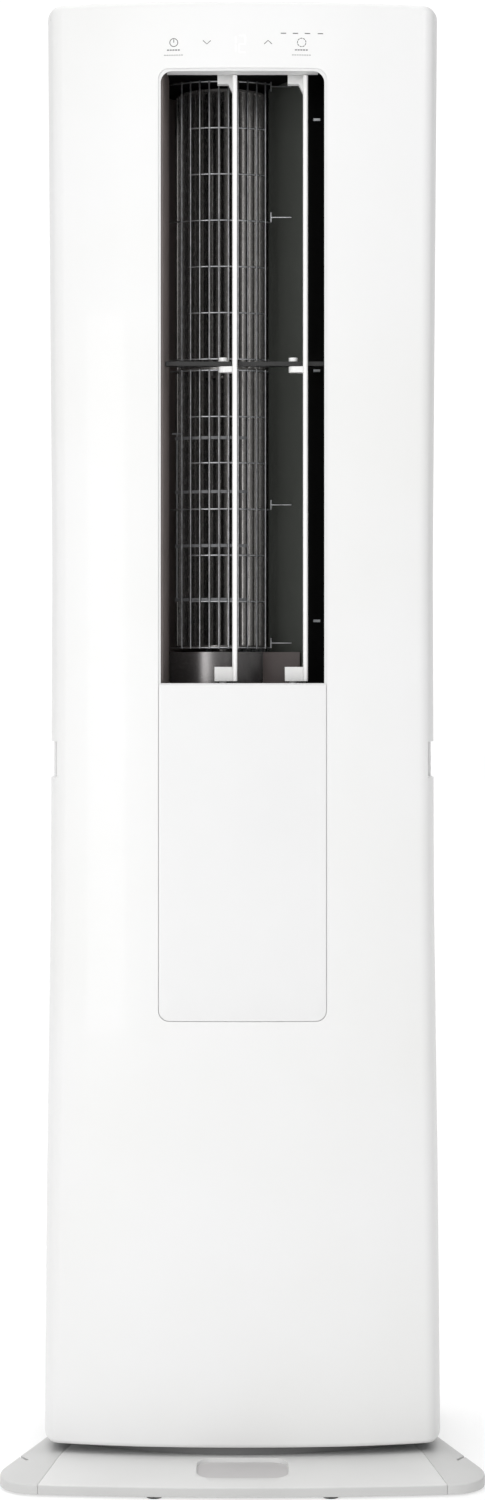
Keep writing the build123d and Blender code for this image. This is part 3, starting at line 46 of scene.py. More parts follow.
# Adds one node with its settings, fixed inputs and incoming links
def addNode(tree, kind, settings=None, inputs=None, links=None):
    node = tree.nodes.new(kind)
    for key, value in (settings or {}).items():
        setattr(node, key, value)
    for key, value in (inputs or {}).items():
        node.inputs[key].default_value = value
    for key, (source, socket) in (links or {}).items():
        tree.links.new(source.outputs[socket], node.inputs[key])
    return node


# A material with two close colours in soft blotches, and a bump from its surface grain.
# grainMm is the size of the grain, blotchMm that of the colour change, both on the real object.
def makeMaterial(name, look):
    material = bpy.data.materials.new(name)
    material.use_nodes = True
    tree = material.node_tree
    shader = tree.nodes["Principled BSDF"]
    place = addNode(tree, "ShaderNodeTexCoord")
    scale = addNode(tree, "ShaderNodeMapping", inputs={"Scale": look.get("stretch", (1, 1, 1))},
                    links={"Vector": (place, "Object")})
    blotch = addNode(tree, "ShaderNodeTexNoise", inputs={"Scale": 1000 / look["blotchMm"], "Detail": 3},
                     links={"Vector": (scale, "Vector")})
    ramp = addNode(tree, "ShaderNodeValToRGB", links={"Fac": (blotch, "Fac")})
    ramp.color_ramp.elements[0].position = 0.35
    ramp.color_ramp.elements[0].color = toLinear(look["colour"])
    ramp.color_ramp.elements[1].position = 0.65
    ramp.color_ramp.elements[1].color = toLinear(look["colourNear"])
    tree.links.new(ramp.outputs["Color"], shader.inputs["Base Color"])
    # Painted shade: a rim is made darker below its crease, standing in for the shade it lies in; the two heights in
    # millimetres between which that begins, and how dark
    if "paintedRimShade" in look:
        spot = addNode(tree, "ShaderNodeSeparateXYZ", links={"Vector": (place, "Object")})
        low, high, share = look["paintedRimShade"]
        shade = addNode(tree, "ShaderNodeMapRange",
                        inputs={"From Min": low / 1000, "From Max": high / 1000, "To Min": share, "To Max": 1},
                        links={"Value": (spot, "Z")})
        rimPaintedShade = addNode(tree, "ShaderNodeVectorMath", {"operation": "SCALE"},
                         links={"Vector": (ramp, "Color"), "Scale": (shade, "Result")})
        tree.links.new(rimPaintedShade.outputs["Vector"], shader.inputs["Base Color"])
    grain = addNode(tree, "ShaderNodeTexNoise", inputs={"Scale": 1000 / look["grainMm"], "Detail": 2},
                    links={"Vector": (scale, "Vector")})
    rough = addNode(tree, "ShaderNodeMapRange",
                    inputs={"To Min": look["roughness"] - look["roughnessSpread"],
                            "To Max": look["roughness"] + look["roughnessSpread"]},
                    links={"Value": (grain, "Fac")})
    tree.links.new(rough.outputs["Result"], shader.inputs["Roughness"])
    bump = addNode(tree, "ShaderNodeBump", inputs={"Strength": look["bump"], "Distance": look["grainMm"] / 5000},
                   links={"Height": (grain, "Fac")})
    tree.links.new(bump.outputs["Normal"], shader.inputs["Normal"])
    for key, value in look.get("sockets", {}).items():
        shader.inputs[key].default_value = value
    return material


materialLooks = {
    # High-gloss ABS moulding, polished tool: mirror-like sheen over a very slightly uneven face
    "glossWhiteAbs": {"colour": "#EAEAEA", "colourNear": "#E8E8E7", "blotchMm": 220, "grainMm": 9, "roughness": 0.4,
                      "roughnessSpread": 0.03, "bump": 0.03, "sockets": {"IOR": 1.53, "Coat Weight": 0.08}},
    # The lower panel is the same ABS, from another tool with a finer, duller texture
    "satinWhiteAbs": {"colour": "#E8E8E8", "colourNear": "#E6E6E6", "blotchMm": 160, "grainMm": 1.2,
                      "roughness": 0.42, "roughnessSpread": 0.04, "bump": 0.06, "sockets": {"IOR": 1.53}},
    # Spark-eroded grey ABS of the foot: even, satin, fine grain, with painted shade on the rim below its crease
    "satinGreyAbs": {"colour": "#DCDCDB", "colourNear": "#D8D8D7", "blotchMm": 120, "grainMm": 0.8,
                     "roughness": 0.45, "roughnessSpread": 0.05, "bump": 0.12, "paintedRimShade": (12.4, 13.6, 0.8),
                     "sockets": {"IOR": 1.53}},
    # Painted shade: the wings are the foot's grey made a shade darker than the front moulding, standing in for the
    # light they catch less
    "wingShadedGreyAbs": {"colour": "#CBCBCA", "colourNear": "#C7C7C6", "blotchMm": 120, "grainMm": 0.8,
                    "roughness": 0.45, "roughnessSpread": 0.05, "bump": 0.12, "sockets": {"IOR": 1.53}},
    # Painted shade: the recess floor has a darker grey sheet, standing in for the shade in the recess
    "recessShadeGrey": {"colour": "#C3C1C1", "colourNear": "#BFBDBD", "blotchMm": 60, "grainMm": 0.8,
                   "roughness": 0.5, "roughnessSpread": 0.05, "bump": 0.12, "sockets": {"IOR": 1.53}},
    # Painted shade: the plinth's dark grey stands in for the shadow under the cabinet's overhang
    "plinthShadeGrey": {"colour": "#7A7A7A", "colourNear": "#747474", "blotchMm": 80, "grainMm": 1.0,
                      "roughness": 0.6, "roughnessSpread": 0.05, "bump": 0.15, "sockets": {"IOR": 1.53}},
    # Unpainted black ABS of the duct: grained, catches a grey sheen at low angles. On the channel cover its
    # near-black is painted shade, standing in for the unlit gap beside the duct
    "blackDuctAndShadeAbs": {"colour": "#060606", "colourNear": "#040404", "blotchMm": 90, "grainMm": 1.0,
                     "roughness": 0.7, "roughnessSpread": 0.06, "bump": 0.12,
                     "sockets": {"Specular IOR Level": 0.12}},
    "leftWallAbs": {"colour": "#857B79", "colourNear": "#7C7371", "blotchMm": 140, "grainMm": 1.0,
                    "roughness": 0.42, "roughnessSpread": 0.06, "bump": 0.1, "sockets": {"IOR": 1.53}},
    "rightWallAbs": {"colour": "#515450", "colourNear": "#4B4E4A", "blotchMm": 140, "grainMm": 1.0,
                     "roughness": 0.5, "roughnessSpread": 0.06, "bump": 0.1, "sockets": {"IOR": 1.53}},
    "curbAbs": {"colour": "#564C4B", "colourNear": "#4F4645", "blotchMm": 60, "grainMm": 0.8, "roughness": 0.4,
                "roughnessSpread": 0.06, "bump": 0.1, "sockets": {"IOR": 1.53}},
    # Polished grey skirt below the guards, with a soft upright highlight
    "skirtAbs": {"colour": "#6C6A6A", "colourNear": "#646262", "blotchMm": 60, "grainMm": 0.8, "roughness": 0.26,
                 "roughnessSpread": 0.04, "bump": 0.05, "sockets": {"Metallic": 0.75, "IOR": 1.5}},
    # Glass-filled nylon blades: grey with faint pale streaks along the flow of the moulding
    "filledNylon": {"colour": "#8E8C8A", "colourNear": "#82807E", "blotchMm": 14, "grainMm": 0.9,
                    "stretch": (1, 1, 0.1), "roughness": 0.26, "roughnessSpread": 0.05, "bump": 0.06,
                    "sockets": {"Metallic": 0.6, "IOR": 1.6}},
    "louverAbs": {"colour": "#FCFCFB", "colourNear": "#F8F8F7", "blotchMm": 60, "grainMm": 0.8, "roughness": 0.38,
                  "roughnessSpread": 0.04, "bump": 0.06, "sockets": {"IOR": 1.53}},
    # Acetal runs dry in its bearings: dark, waxy
    "blackAcetal": {"colour": "#1E1E1E", "colourNear": "#191919", "blotchMm": 30, "grainMm": 0.6,
                    "roughness": 0.35, "roughnessSpread": 0.05, "bump": 0.08, "sockets": {"IOR": 1.48}},
    # Zinc-plated mild steel wire: bright grey with drawing marks along it
    "dullZinc": {"colour": "#77787A", "colourNear": "#6A6B6D", "blotchMm": 9, "grainMm": 0.5, "roughness": 0.55,
                 "roughnessSpread": 0.06, "bump": 0.1, "sockets": {"Metallic": 0.6}},
    "zincWire": {"colour": "#B4B5B7", "colourNear": "#97989B", "blotchMm": 9, "grainMm": 0.5, "roughness": 0.32,
                 "roughnessSpread": 0.08, "bump": 0.15, "sockets": {"Metallic": 1.0}},
    # Galvanised sheet: spangle of a few millimetres, stretched by rolling
    "galvanisedSheet": {"colour": "#B9BBBD", "colourNear": "#9EA1A4", "blotchMm": 7, "grainMm": 0.6,
                        "stretch": (1, 1, 0.4), "roughness": 0.38, "roughnessSpread": 0.1, "bump": 0.1,
                        "sockets": {"Metallic": 1.0}},
    "motorEnamel": {"colour": "#2B2B2D", "colourNear": "#242426", "blotchMm": 20, "grainMm": 1.5,
                    "roughness": 0.4, "roughnessSpread": 0.06, "bump": 0.15, "sockets": {"IOR": 1.5}},
    # Aluminium fins: fine upright lines, 1.6 mm apart in the real pack
    "finStock": {"colour": "#C6C9CC", "colourNear": "#8F9396", "blotchMm": 1.6, "grainMm": 1.6,
                 "stretch": (1, 1, 0.004), "roughness": 0.35, "roughnessSpread": 0.1, "bump": 0.6,
                 "sockets": {"Metallic": 1.0}},
    # Drawn copper with the brown bloom that brazing leaves
    "drawnCopper": {"colour": "#B87048", "colourNear": "#8E5233", "blotchMm": 35, "grainMm": 0.8,
                    "roughness": 0.3, "roughnessSpread": 0.08, "bump": 0.08, "sockets": {"Metallic": 1.0}},
    "polypropylene": {"colour": "#E2E2DF", "colourNear": "#DCDCD8", "blotchMm": 70, "grainMm": 1.0,
                      "roughness": 0.5, "roughnessSpread": 0.05, "bump": 0.1, "sockets": {"IOR": 1.49}},
    "fr4Laminate": {"colour": "#1F5A34", "colourNear": "#194C2B", "blotchMm": 12, "grainMm": 0.7,
                    "roughness": 0.35, "roughnessSpread": 0.06, "bump": 0.1, "sockets": {"IOR": 1.55}},
    "footRubber": {"colour": "#262626", "colourNear": "#1F1F1F", "blotchMm": 15, "grainMm": 0.9,
                   "roughness": 0.75, "roughnessSpread": 0.08, "bump": 0.3, "sockets": {"IOR": 1.52}},
    # Pad-printed ink of the touch symbols: thin, matt
    "greyInk": {"colour": "#4C4C4C", "colourNear": "#444444", "blotchMm": 5, "grainMm": 0.4, "roughness": 0.6,
                "roughnessSpread": 0.05, "bump": 0.05, "sockets": {"IOR": 1.5}},
    # Lit segments seen through the white skin: only just brighter than it
    "litSegment": {"colour": "#F5F5F5", "colourNear": "#F3F3F3", "blotchMm": 5, "grainMm": 0.4, "roughness": 0.4,
                   "roughnessSpread": 0.02, "bump": 0.02,
                   "sockets": {"Emission Color": (1, 1, 1, 1), "Emission Strength": 0.02}},
}
finish = {name: makeMaterial(name, look) for name, look in materialLooks.items()}


# The filters are a net, drawn as dark squares between two sets of waves that stand for the threads
def makeFilterNet(pitchMm=8.7965, liftMm=0.3):
    material = bpy.data.materials.new("polyesterNet")
    material.use_nodes = True
    tree = material.node_tree
    shader = tree.nodes["Principled BSDF"]
    place = addNode(tree, "ShaderNodeTexCoord")
    threads = []
    # At scale 1 the waves have 20 radians to the metre
    waveScale = 2 * math.pi * 1000 / 20 / pitchMm
    for direction in ("X", "Z"):
        threads.append(addNode(tree, "ShaderNodeTexWave",
                               {"bands_direction": direction},
                               {"Scale": waveScale, "Distortion": 0.2, "Detail": 1},
                               {"Vector": (place, "Object")}))
    mesh = addNode(tree, "ShaderNodeMath", {"operation": "MAXIMUM"},
                   links={0: (threads[0], "Fac"), 1: (threads[1], "Fac")})
    ramp = addNode(tree, "ShaderNodeValToRGB", links={"Fac": (mesh, "Value")})
    ramp.color_ramp.elements[0].color = toLinear("#2E3840")
    ramp.color_ramp.elements[1].color = toLinear("#5D6C78")
    tree.links.new(ramp.outputs["Color"], shader.inputs["Base Color"])
    bump = addNode(tree, "ShaderNodeBump", inputs={"Strength": 0.5, "Distance": liftMm / 1000},
                   links={"Height": (mesh, "Value")})
    tree.links.new(bump.outputs["Normal"], shader.inputs["Normal"])
    shader.inputs["Roughness"].default_value = 0.6
    return material


finish["polyesterNet"] = makeFilterNet()
print("materials made")

# Which finish each carried-over part gets
nodeFinish = {
    "glossWhiteAbs": "front_panel top_cover rear_casing",
    "satinWhiteAbs": "infill_panel outlet_frame sliding_door left_grip right_grip",
    "satinGreyAbs": "base_front base_left_wing base_right_wing base_rear",
    "plinthShadeGrey": "plinth",
    "blackDuctAndShadeAbs": "duct_floor duct_ceiling channel_cover",
    "leftWallAbs": "left_duct_wall",
    "skirtAbs": "guard_skirt",
    "rightWallAbs": "right_duct_wall",
    "curbAbs": "right_curb",
    "filledNylon": "cross_flow_fan",
    "louverAbs": "left_louver right_louver",
    "blackAcetal": "crossbar louver_link door_rack door_pinion",
    "zincWire": "upper_guard lower_guard guard_hooks",
    "dullZinc": "hoop_guard",
    "galvanisedSheet": "motor_bracket door_motor_bracket floor_plate box_lid electrical_box coil_end_plates "
                       "door_clips fan_bearing fan_shaft casing_screws door_rails",
    "motorEnamel": "fan_motor louver_motor door_motor",
    "finStock": "evaporator_fins",
    "drawnCopper": "coil_bends gas_pipe liquid_pipe",
    "polypropylene": "drain_pan drain_pipe pipe_port filter_frame intake_grille board_carrier",
    "polyesterNet": "upper_filter lower_filter",
    "fr4Laminate": "control_board",
    "footRubber": "rubber_feet bearing_seat",
}
for finishName, nodeNames in nodeFinish.items():
    for nodeName in nodeNames.split():
        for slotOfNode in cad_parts[nodeName].material_slots:
            slotOfNode.material = finish[finishName]
print("carried-over parts have their finishes")


def deselectAll():
    if bpy.context.object and bpy.context.object.mode != "OBJECT":
        bpy.ops.object.mode_set(mode="OBJECT")
    bpy.ops.object.select_all(action="DESELECT")


def pick(piece):
    deselectAll()
    piece.select_set(True)
    bpy.context.view_layer.objects.active = piece


# Applies the place, turn and size, so that the piece sits at the origin
def settle(piece):
    pick(piece)
    bpy.ops.object.transform_apply(location=True, rotation=True, scale=True)


def applyModifiers(piece):
    pick(piece)
    for modifier in list(piece.modifiers):
        bpy.ops.object.modifier_apply(modifier=modifier.name)


# Cuts a piece with another one, which is then deleted
def cut(piece, cutter, operation="DIFFERENCE"):
    modifier = piece.modifiers.new("cut", "BOOLEAN")
    modifier.operation = operation
    modifier.object = cutter
    modifier.solver = "EXACT"
    applyModifiers(piece)
    bpy.data.objects.remove(cutter, do_unlink=True)


def softenEdges(piece, widthMm, segments=2, angle=35):
    modifier = piece.modifiers.new("edge", "BEVEL")
    modifier.width = widthMm / 1000
    modifier.segments = segments
    modifier.limit_method = "ANGLE"
    modifier.angle_limit = math.radians(angle)
    modifier.harden_normals = False
    applyModifiers(piece)
    bpy.ops.object.shade_smooth_by_angle(angle=math.radians(30))


def dress(piece, name, finishName, body, replaced=()):
    piece.name = name
    piece.data.name = name
    piece.data.materials.clear()
    piece.data.materials.append(finish[finishName])
    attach(piece, body)
    if replaced:
        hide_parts(*replaced)
    return piece


# A block between two corners in millimetres
def blockBetween(low, high):
    deselectAll()
    bpy.ops.mesh.primitive_cube_add(size=1)
    piece = bpy.context.object
    piece.scale = [(b - a) / 1000 for a, b in zip(low, high)]
    piece.location = [(a + b) / 2000 for a, b in zip(low, high)]
    settle(piece)
    return piece


# A closed form through rings of points, each made by extruding the one below it
def loftRings(rings):
    deselectAll()
    count = len(rings[0])
    bpy.ops.mesh.primitive_circle_add(vertices=count, fill_type="NOTHING")
    piece = bpy.context.object
    for vertex, place in zip(piece.data.vertices, rings[0]):
        vertex.co = Vector(place) / 1000
    bpy.ops.object.mode_set(mode="EDIT")
    bpy.ops.mesh.select_all(action="SELECT")
    bpy.ops.mesh.edge_face_add()
    for ring in rings[1:]:
        bpy.ops.mesh.extrude_region_move()
        bpy.ops.object.mode_set(mode="OBJECT")
        for vertex, place in zip(piece.data.vertices[-count:], ring):
            vertex.co = Vector(place) / 1000
        bpy.ops.object.mode_set(mode="EDIT")
    bpy.ops.mesh.select_all(action="SELECT")
    bpy.ops.mesh.normals_make_consistent(inside=False)
    bpy.ops.object.mode_set(mode="OBJECT")
    return piece


# Follows arcs and lines in plan, as (radius, turn in degrees, points) or ("to", x, y, points)
def followChain(start, heading, steps):
    points = [start]
    x, y = start
    turned = math.radians(heading)
    for step in steps:
        if step[0] == "to":
            for part in range(1, step[3] + 1):
                points.append((x + (step[1] - x) * part / step[3], y + (step[2] - y) * part / step[3]))
            x, y = step[1], step[2]
            continue
        radius, turn, count = step
        centreX = x - radius * math.sin(turned)
        centreY = y + radius * math.cos(turned)
        for part in range(1, count + 1):
            angle = turned + math.radians(turn) * part / count
            points.append((centreX + radius * math.sin(angle), centreY - radius * math.cos(angle)))
        x, y = points[-1]
        turned += math.radians(turn)
    return points


# A half outline from the middle of the front to the middle of the back, with its mirror image
def wholeRing(half, height):
    mirrored = [(-x, y) for x, y in reversed(half[1:-1])]
    return [(x, y, height) for x, y in half + mirrored]


# The cabinet, with the same sizes in millimetres as its solids have
cabinet = {
    "front": -129, "back": 221, "top": 1750, "underside": 35, "wall": 2.5, "topRound": 8, "footRound": 6,
    "frontRadius": 1300, "frontHalf": 112, "shoulderTurn": 14, "cornerRadius": 20, "cornerTurn": 72,
    "flankRadius": 150, "rearCorner": 24,
    "halfWidths": [(41, 239), (330, 236.4), (685, 231.5), (1090, 230.2), (1742, 235.3)],
    "split": 11, "coverFront": -89, "coverBottom": 1736, "seam": 0.5,
    "ringStep": 45, "roundSteps": 8,
}


def cabinetHalf(halfWidth, inset):
    c = cabinet
    firstTurn = math.degrees(math.asin(c["frontHalf"] / c["frontRadius"]))
    sines = [math.sin(math.radians(t)) for t in (firstTurn, c["shoulderTurn"], c["cornerTurn"])]
    cornerRun = c["cornerRadius"] * (sines[2] - sines[1]) + c["flankRadius"] * (1 - sines[2])
    shoulder = (halfWidth - c["frontHalf"] - cornerRun) / (sines[1] - sines[0])
    return followChain((0, c["front"] + inset), 0, [
        (c["frontRadius"] - inset, firstTurn, 14),
        (shoulder - inset, c["shoulderTurn"] - firstTurn, 14),
        (c["cornerRadius"] - inset, c["cornerTurn"] - c["shoulderTurn"], 14),
        (c["flankRadius"] - inset, 90 - c["cornerTurn"], 8),
        ("to", halfWidth - inset, c["back"] - c["rearCorner"], 6),
        (c["rearCorner"] - inset, 90, 10),
        ("to", 0, c["back"] - inset, 8),
    ])


# The half width at a height, straight between the measured heights
def halfWidthAt(height):
    stations = cabinet["halfWidths"]
    for (lowZ, low), (highZ, high) in zip(stations, stations[1:]):
        if height <= highZ:
            return low + (high - low) * max(height - lowZ, 0) / (highZ - lowZ)
    return stations[-1][1]


# The form of the cabinet. The inner one, which hollows it, runs straight down past the underside
def cabinetForm(inset=0):
    c = cabinet
    foot, head = c["underside"] + c["footRound"], c["top"] - c["topRound"]
    rings = [(c["underside"] - 15, inset)] if inset else []
    for step in range(c["roundSteps"] if not inset else 0, 0, -1):
        turn = math.radians(90 * step / c["roundSteps"])
        rings.append((foot - c["footRound"] * math.sin(turn), c["footRound"] * (1 - math.cos(turn))))
    count = round((head - foot) / c["ringStep"])
    rings += [(foot + (head - foot) * part / count, inset) for part in range(count + 1)]
    for step in range(1, c["roundSteps"] + 1):
        turn = math.radians(90 * step / c["roundSteps"])
        height = head + (c["topRound"] - inset) * math.sin(turn)
        rings.append((height, inset + (c["topRound"] - inset) * (1 - math.cos(turn))))
    return loftRings([wholeRing(cabinetHalf(halfWidthAt(height), away), height) for height, away in rings])


# The slot in the front, and the grips
slot = {"width": 200, "bottom": 540.5, "top": 1670, "corner": 13, "gap": 0.6, "infillTop": 940,
        "near": -200, "far": -60}
grip = {"low": 829, "high": 872, "near": -99, "far": -1, "inner": 153}


# An upright plate with rounded corners, as a tool that cuts from front to back
def roundedTool(width, bottom, top, corner, near, far, middleX=0, steps=10):
    ring = []
    for cornerX, cornerZ, start in ((1, -1, -90), (1, 1, 0), (-1, 1, 90), (-1, -1, 180)):
        for step in range(steps + 1):
            turn = math.radians(start + 90 * step / steps)
            ring.append((middleX + cornerX * (width / 2 - corner) + corner * math.cos(turn),
                         (top if cornerZ > 0 else bottom) - cornerZ * corner + corner * math.sin(turn)))
    return loftRings([[(x, y, z) for x, z in ring] for y in (near, far)])


def cabinetShell():
    shell = cabinetForm()
    cut(shell, cabinetForm(cabinet["wall"]))
    return shell


c = cabinet
# Half a width, a depth and a height that reach past the cabinet
wide, deep, tall = 400, 400, 1800
frontShell = cabinetShell()
cut(frontShell, blockBetween((-wide, c["split"], 0), (wide, deep, tall)))
cut(frontShell, blockBetween((-wide, c["coverFront"], c["coverBottom"]), (wide, deep, tall)))
cut(frontShell, roundedTool(slot["width"], slot["bottom"], slot["top"], slot["corner"],
                            slot["near"], slot["far"]))
for side in (-1, 1):
    low, high = sorted((side * grip["inner"], side * wide))
    cut(frontShell, blockBetween((low, grip["near"], grip["low"]), (high, grip["far"], grip["high"])))
softenEdges(frontShell, 0.7)
dress(frontShell, "frontShell", "glossWhiteAbs", "cabinet", ["front_panel"])
print("front shell made")

topLid = cabinetShell()
cut(topLid, blockBetween((-wide, c["coverFront"] + c["seam"], c["coverBottom"] + c["seam"]), (wide, deep, tall)),
    "INTERSECT")
softenEdges(topLid, 0.5)
dress(topLid, "topLid", "glossWhiteAbs", "cabinet", ["top_cover"])
print("top lid made")

# The lower panel, flush in the slot, with a fine seam all round
lowerPanel = cabinetShell()
cut(lowerPanel, roundedTool(slot["width"] - 2 * slot["gap"], slot["bottom"] + slot["gap"],
                            slot["top"], slot["corner"], slot["near"], slot["far"]), "INTERSECT")
cut(lowerPanel, blockBetween((-wide, -deep, slot["infillTop"]), (wide, deep, tall)))
softenEdges(lowerPanel, 0.5)
dress(lowerPanel, "lowerPanel", "satinWhiteAbs", "cabinet", ["infill_panel"])
print("lower panel made")

# The rear shell, with the intake, the port for the pipes, the filter slits and the screw seats
rear = {
    "intake": (380, 960, 1660, 12, 0), "port": (84, 87, 167, 6, -165), "slitNear": 183.5, "slitFar": 190.5,
    "slits": [(956.5, 1305.5), (1314.5, 1663.5)], "screwX": 200, "screwHeights": (220, 560, 1700),
    "screwHead": 3.6, "screwHole": 2.1, "near": 205, "far": 240, "screwNear": 210, "past": 2, "screwSides": 24,
}
rearShell = cabinetShell()
cut(rearShell, blockBetween((-wide, -deep, 0), (wide, c["split"] + c["seam"], 1800)))
cut(rearShell, blockBetween((-wide, c["coverFront"], c["coverBottom"]), (wide, deep, tall)))
for width, bottom, top, corner, middleX in (rear["intake"], rear["port"]):
    cut(rearShell, roundedTool(width, bottom, top, corner, rear["near"], rear["far"], middleX))
for bottom, top in rear["slits"]:
    cut(rearShell, blockBetween((grip["inner"], rear["slitNear"], bottom), (wide, rear["slitFar"], top)))
for screwX in (-rear["screwX"], rear["screwX"]):
    for screwZ in rear["screwHeights"]:
        # A countersunk seat: straight, tapered, then out past the back
        tool = []
        taper = rear["screwHead"] - rear["screwHole"]
        turns = [math.radians(360 / rear["screwSides"] * side) for side in range(rear["screwSides"])]
        for y, radius in ((rear["screwNear"], rear["screwHole"]), (c["back"] - taper, rear["screwHole"]),
                          (c["back"], rear["screwHead"]), (c["back"] + rear["past"], rear["screwHead"] + 0.1)):
            tool.append([(screwX + radius * math.cos(t), y, screwZ + radius * math.sin(t)) for t in turns])
        cut(rearShell, loftRings(tool))
softenEdges(rearShell, 0.6)
dress(rearShell, "rearShell", "glossWhiteAbs", "cabinet", ["rear_casing"])
print("rear shell made")


# A thin print or window on the curved front: its outline in millimetres, and how far it stands out
def onFront(outline, proud=0.06, sunk=0.3):
    rings = []
    for away in (-sunk, proud):
        rings.append([(x, c["front"] + c["frontRadius"] - math.sqrt(c["frontRadius"] ** 2 - x ** 2) - away, z)
                      for x, z in outline])
    return loftRings(rings)


# The outline of a stroke of even width along a chain of points
def stroke(points, width):
    left, right = [], []
    for place, point in enumerate(points):
        before, after = points[max(place - 1, 0)], points[min(place + 1, len(points) - 1)]
        alongX, alongZ = after[0] - before[0], after[1] - before[1]
        length = math.hypot(alongX, alongZ)
        left.append((point[0] - alongZ / length * width / 2, point[1] + alongX / length * width / 2))
        right.append((point[0] + alongZ / length * width / 2, point[1] - alongX / length * width / 2))
    return left + right[::-1]


def arc(middleX, middleZ, radius, start, end, steps=14):
    turns = [math.radians(start + (end - start) * step / steps) for step in range(steps + 1)]
    return [(middleX + radius * math.cos(t), middleZ + radius * math.sin(t)) for t in turns]


def joinAs(pieces, name, finishName, replaced=(), body="cabinet"):
    deselectAll()
    for piece in pieces:
        piece.select_set(True)
    bpy.context.view_layer.objects.active = pieces[0]
    bpy.ops.object.join()
    return dress(bpy.context.object, name, finishName, body, replaced)


# Touch symbols: power, down, up and mode, with a dash in place of each word and four small lamps
symbols = {
    "row": 1700.2, "strokeWidth": 0.85, "powerX": -81.4, "powerRadius": 4.7, "downX": -42.2, "upX": 30.3,
    "chevronHalf": 4.6, "chevronRise": 4.2, "modeX": 70.1, "modeRadius": 5, "modeDashes": 9, "modeDashTurn": 31,
    "wordRow": 1691.3, "captionRow": 1685.3, "word": (8, 5, 1.3), "caption": (11.5, 8, 0.7), "dashShare": 0.72,
    "lampRow": 1710.9, "lampXs": (48.5, 62.7, 76.9, 92.3), "lampHalf": 3.2, "lampWidth": 1,
}
m = symbols
strokes = [
    (arc(m["powerX"], m["row"], m["powerRadius"], 90, -90, 18), m["strokeWidth"]),
    (arc(m["powerX"], m["row"], m["powerRadius"], 270, 90, 18), m["strokeWidth"]),
    ([(m["powerX"], m["row"]), (m["powerX"], m["row"] + m["powerRadius"] - 1)], m["strokeWidth"]),
]
for middleX, way in ((m["downX"], -1), (m["upX"], 1)):
    strokes.append(([(middleX - m["chevronHalf"], m["row"] - way * m["chevronRise"] / 2),
                     (middleX, m["row"] + way * m["chevronRise"] / 2),
                     (middleX + m["chevronHalf"], m["row"] - way * m["chevronRise"] / 2)], m["strokeWidth"]))
for dash in range(m["modeDashes"]):
    start = 360 / m["modeDashes"] * dash
    points = arc(m["modeX"], m["row"], m["modeRadius"], start, start + m["modeDashTurn"], 5)
    strokes.append((points, m["strokeWidth"]))
for middleX in (m["powerX"], m["modeX"]):
    for (half, dashes, width), row in ((m["word"], m["wordRow"]), (m["caption"], m["captionRow"])):
        pitch = 2 * half / dashes
        for dash in range(dashes):
            left = middleX - half + dash * pitch
            strokes.append(([(left, row), (left + pitch * m["dashShare"], row)], width))
for lampX in m["lampXs"]:
    ends = [(lampX - m["lampHalf"], m["lampRow"]), (lampX + m["lampHalf"], m["lampRow"])]
    strokes.append((ends, m["lampWidth"]))
joinAs([onFront(stroke(points, width)) for points, width in strokes], "touchSymbols", "greyInk")

# The display shows a faint two-figure number of seven-segment figures behind the white skin
figure = {"xs": (-12.0, -0.5), "bottom": 1688, "top": 1708, "half": 3.8, "width": 1.4,
          "lit": (("topRight", "lowRight"), ("top", "topRight", "middle", "lowLeft", "low"))}
segments = []
for middleX, lit in zip(figure["xs"], figure["lit"]):
    left, right = middleX - figure["half"], middleX + figure["half"]
    low, high = figure["bottom"], figure["top"]
    middleZ = (low + high) / 2
    ends = {"top": ((left, high), (right, high)), "middle": ((left, middleZ), (right, middleZ)),
            "low": ((left, low), (right, low)), "topRight": ((right, middleZ + 1), (right, high - 1)),
            "lowRight": ((right, low + 1), (right, middleZ - 1)), "lowLeft": ((left, low + 1), (left, middleZ - 1))}
    segments += [onFront(stroke(list(ends[name]), figure["width"]), 0.04) for name in lit]
joinAs(segments, "displayFigures", "litSegment")
print("symbols made")

# Wire guards of round wire, in the places of the plain ones: rows that bend round the fan and upright wires
guard = {
    "centreX": -25, "centreY": 74, "rowRadius": 104.1, "uprightRadius": 105.9, "wire": 1.05, "rowPitch": 56.3,
    "rows": 7, "uprights": 10, "firstTurn": -27.6, "turnStep": 6.4, "shortRow": (-22.5, 31),
    "longRow": (-37.4, 34), "rowSteps": 22, "bottoms": {"upper_guard": 1336.7, "lower_guard": 985.2},
}


# A round wire along a chain of places, with its ends square to it
def roundWire(places, radius, sides=10):
    rings = []
    for k, place in enumerate(places):
        along = (Vector(places[min(k + 1, len(places) - 1)]) - Vector(places[max(k - 1, 0)])).normalized()
        # Any direction that the wire doesn't run in gives one square to it
        aside = (0.3, 0.5, 1) if abs(along.z) < 0.9 else (1, 0.2, 0)
        across = along.cross(Vector(aside)).normalized()
        other = along.cross(across)
        turns = [2 * math.pi * t / sides for t in range(sides)]
        rings.append([tuple(Vector(place) + (across * math.cos(t) + other * math.sin(t)) * radius) for t in turns])
    return loftRings(rings)


def aroundFan(turn, radius, height):
    angle = math.radians(turn - 90)
    return (guard["centreX"] + radius * math.cos(angle), guard["centreY"] + radius * math.sin(angle), height)


g = guard
for nodeName, bottom in g["bottoms"].items():
    wires = []
    for row in range(g["rows"]):
        first, last = g["longRow"] if row % 3 == 0 else g["shortRow"]
        turns = [first + (last - first) * step / g["rowSteps"] for step in range(g["rowSteps"] + 1)]
        height = bottom + row * g["rowPitch"]
        wires.append(roundWire([aroundFan(turn, g["rowRadius"], height) for turn in turns], g["wire"]))
    for wire in range(g["uprights"]):
        turn = g["firstTurn"] + wire * g["turnStep"]
        ends = (bottom - g["wire"], bottom + (g["rows"] - 1) * g["rowPitch"] + g["wire"])
        wires.append(roundWire([aroundFan(turn, g["uprightRadius"], z) for z in ends], g["wire"]))
    wireGuard = joinAs(wires, nodeName.split("_")[0] + "WireGuard", "zincWire", [nodeName])
    pick(wireGuard)
    bpy.ops.object.shade_smooth_by_angle(angle=math.radians(50))
print("wire guards made")

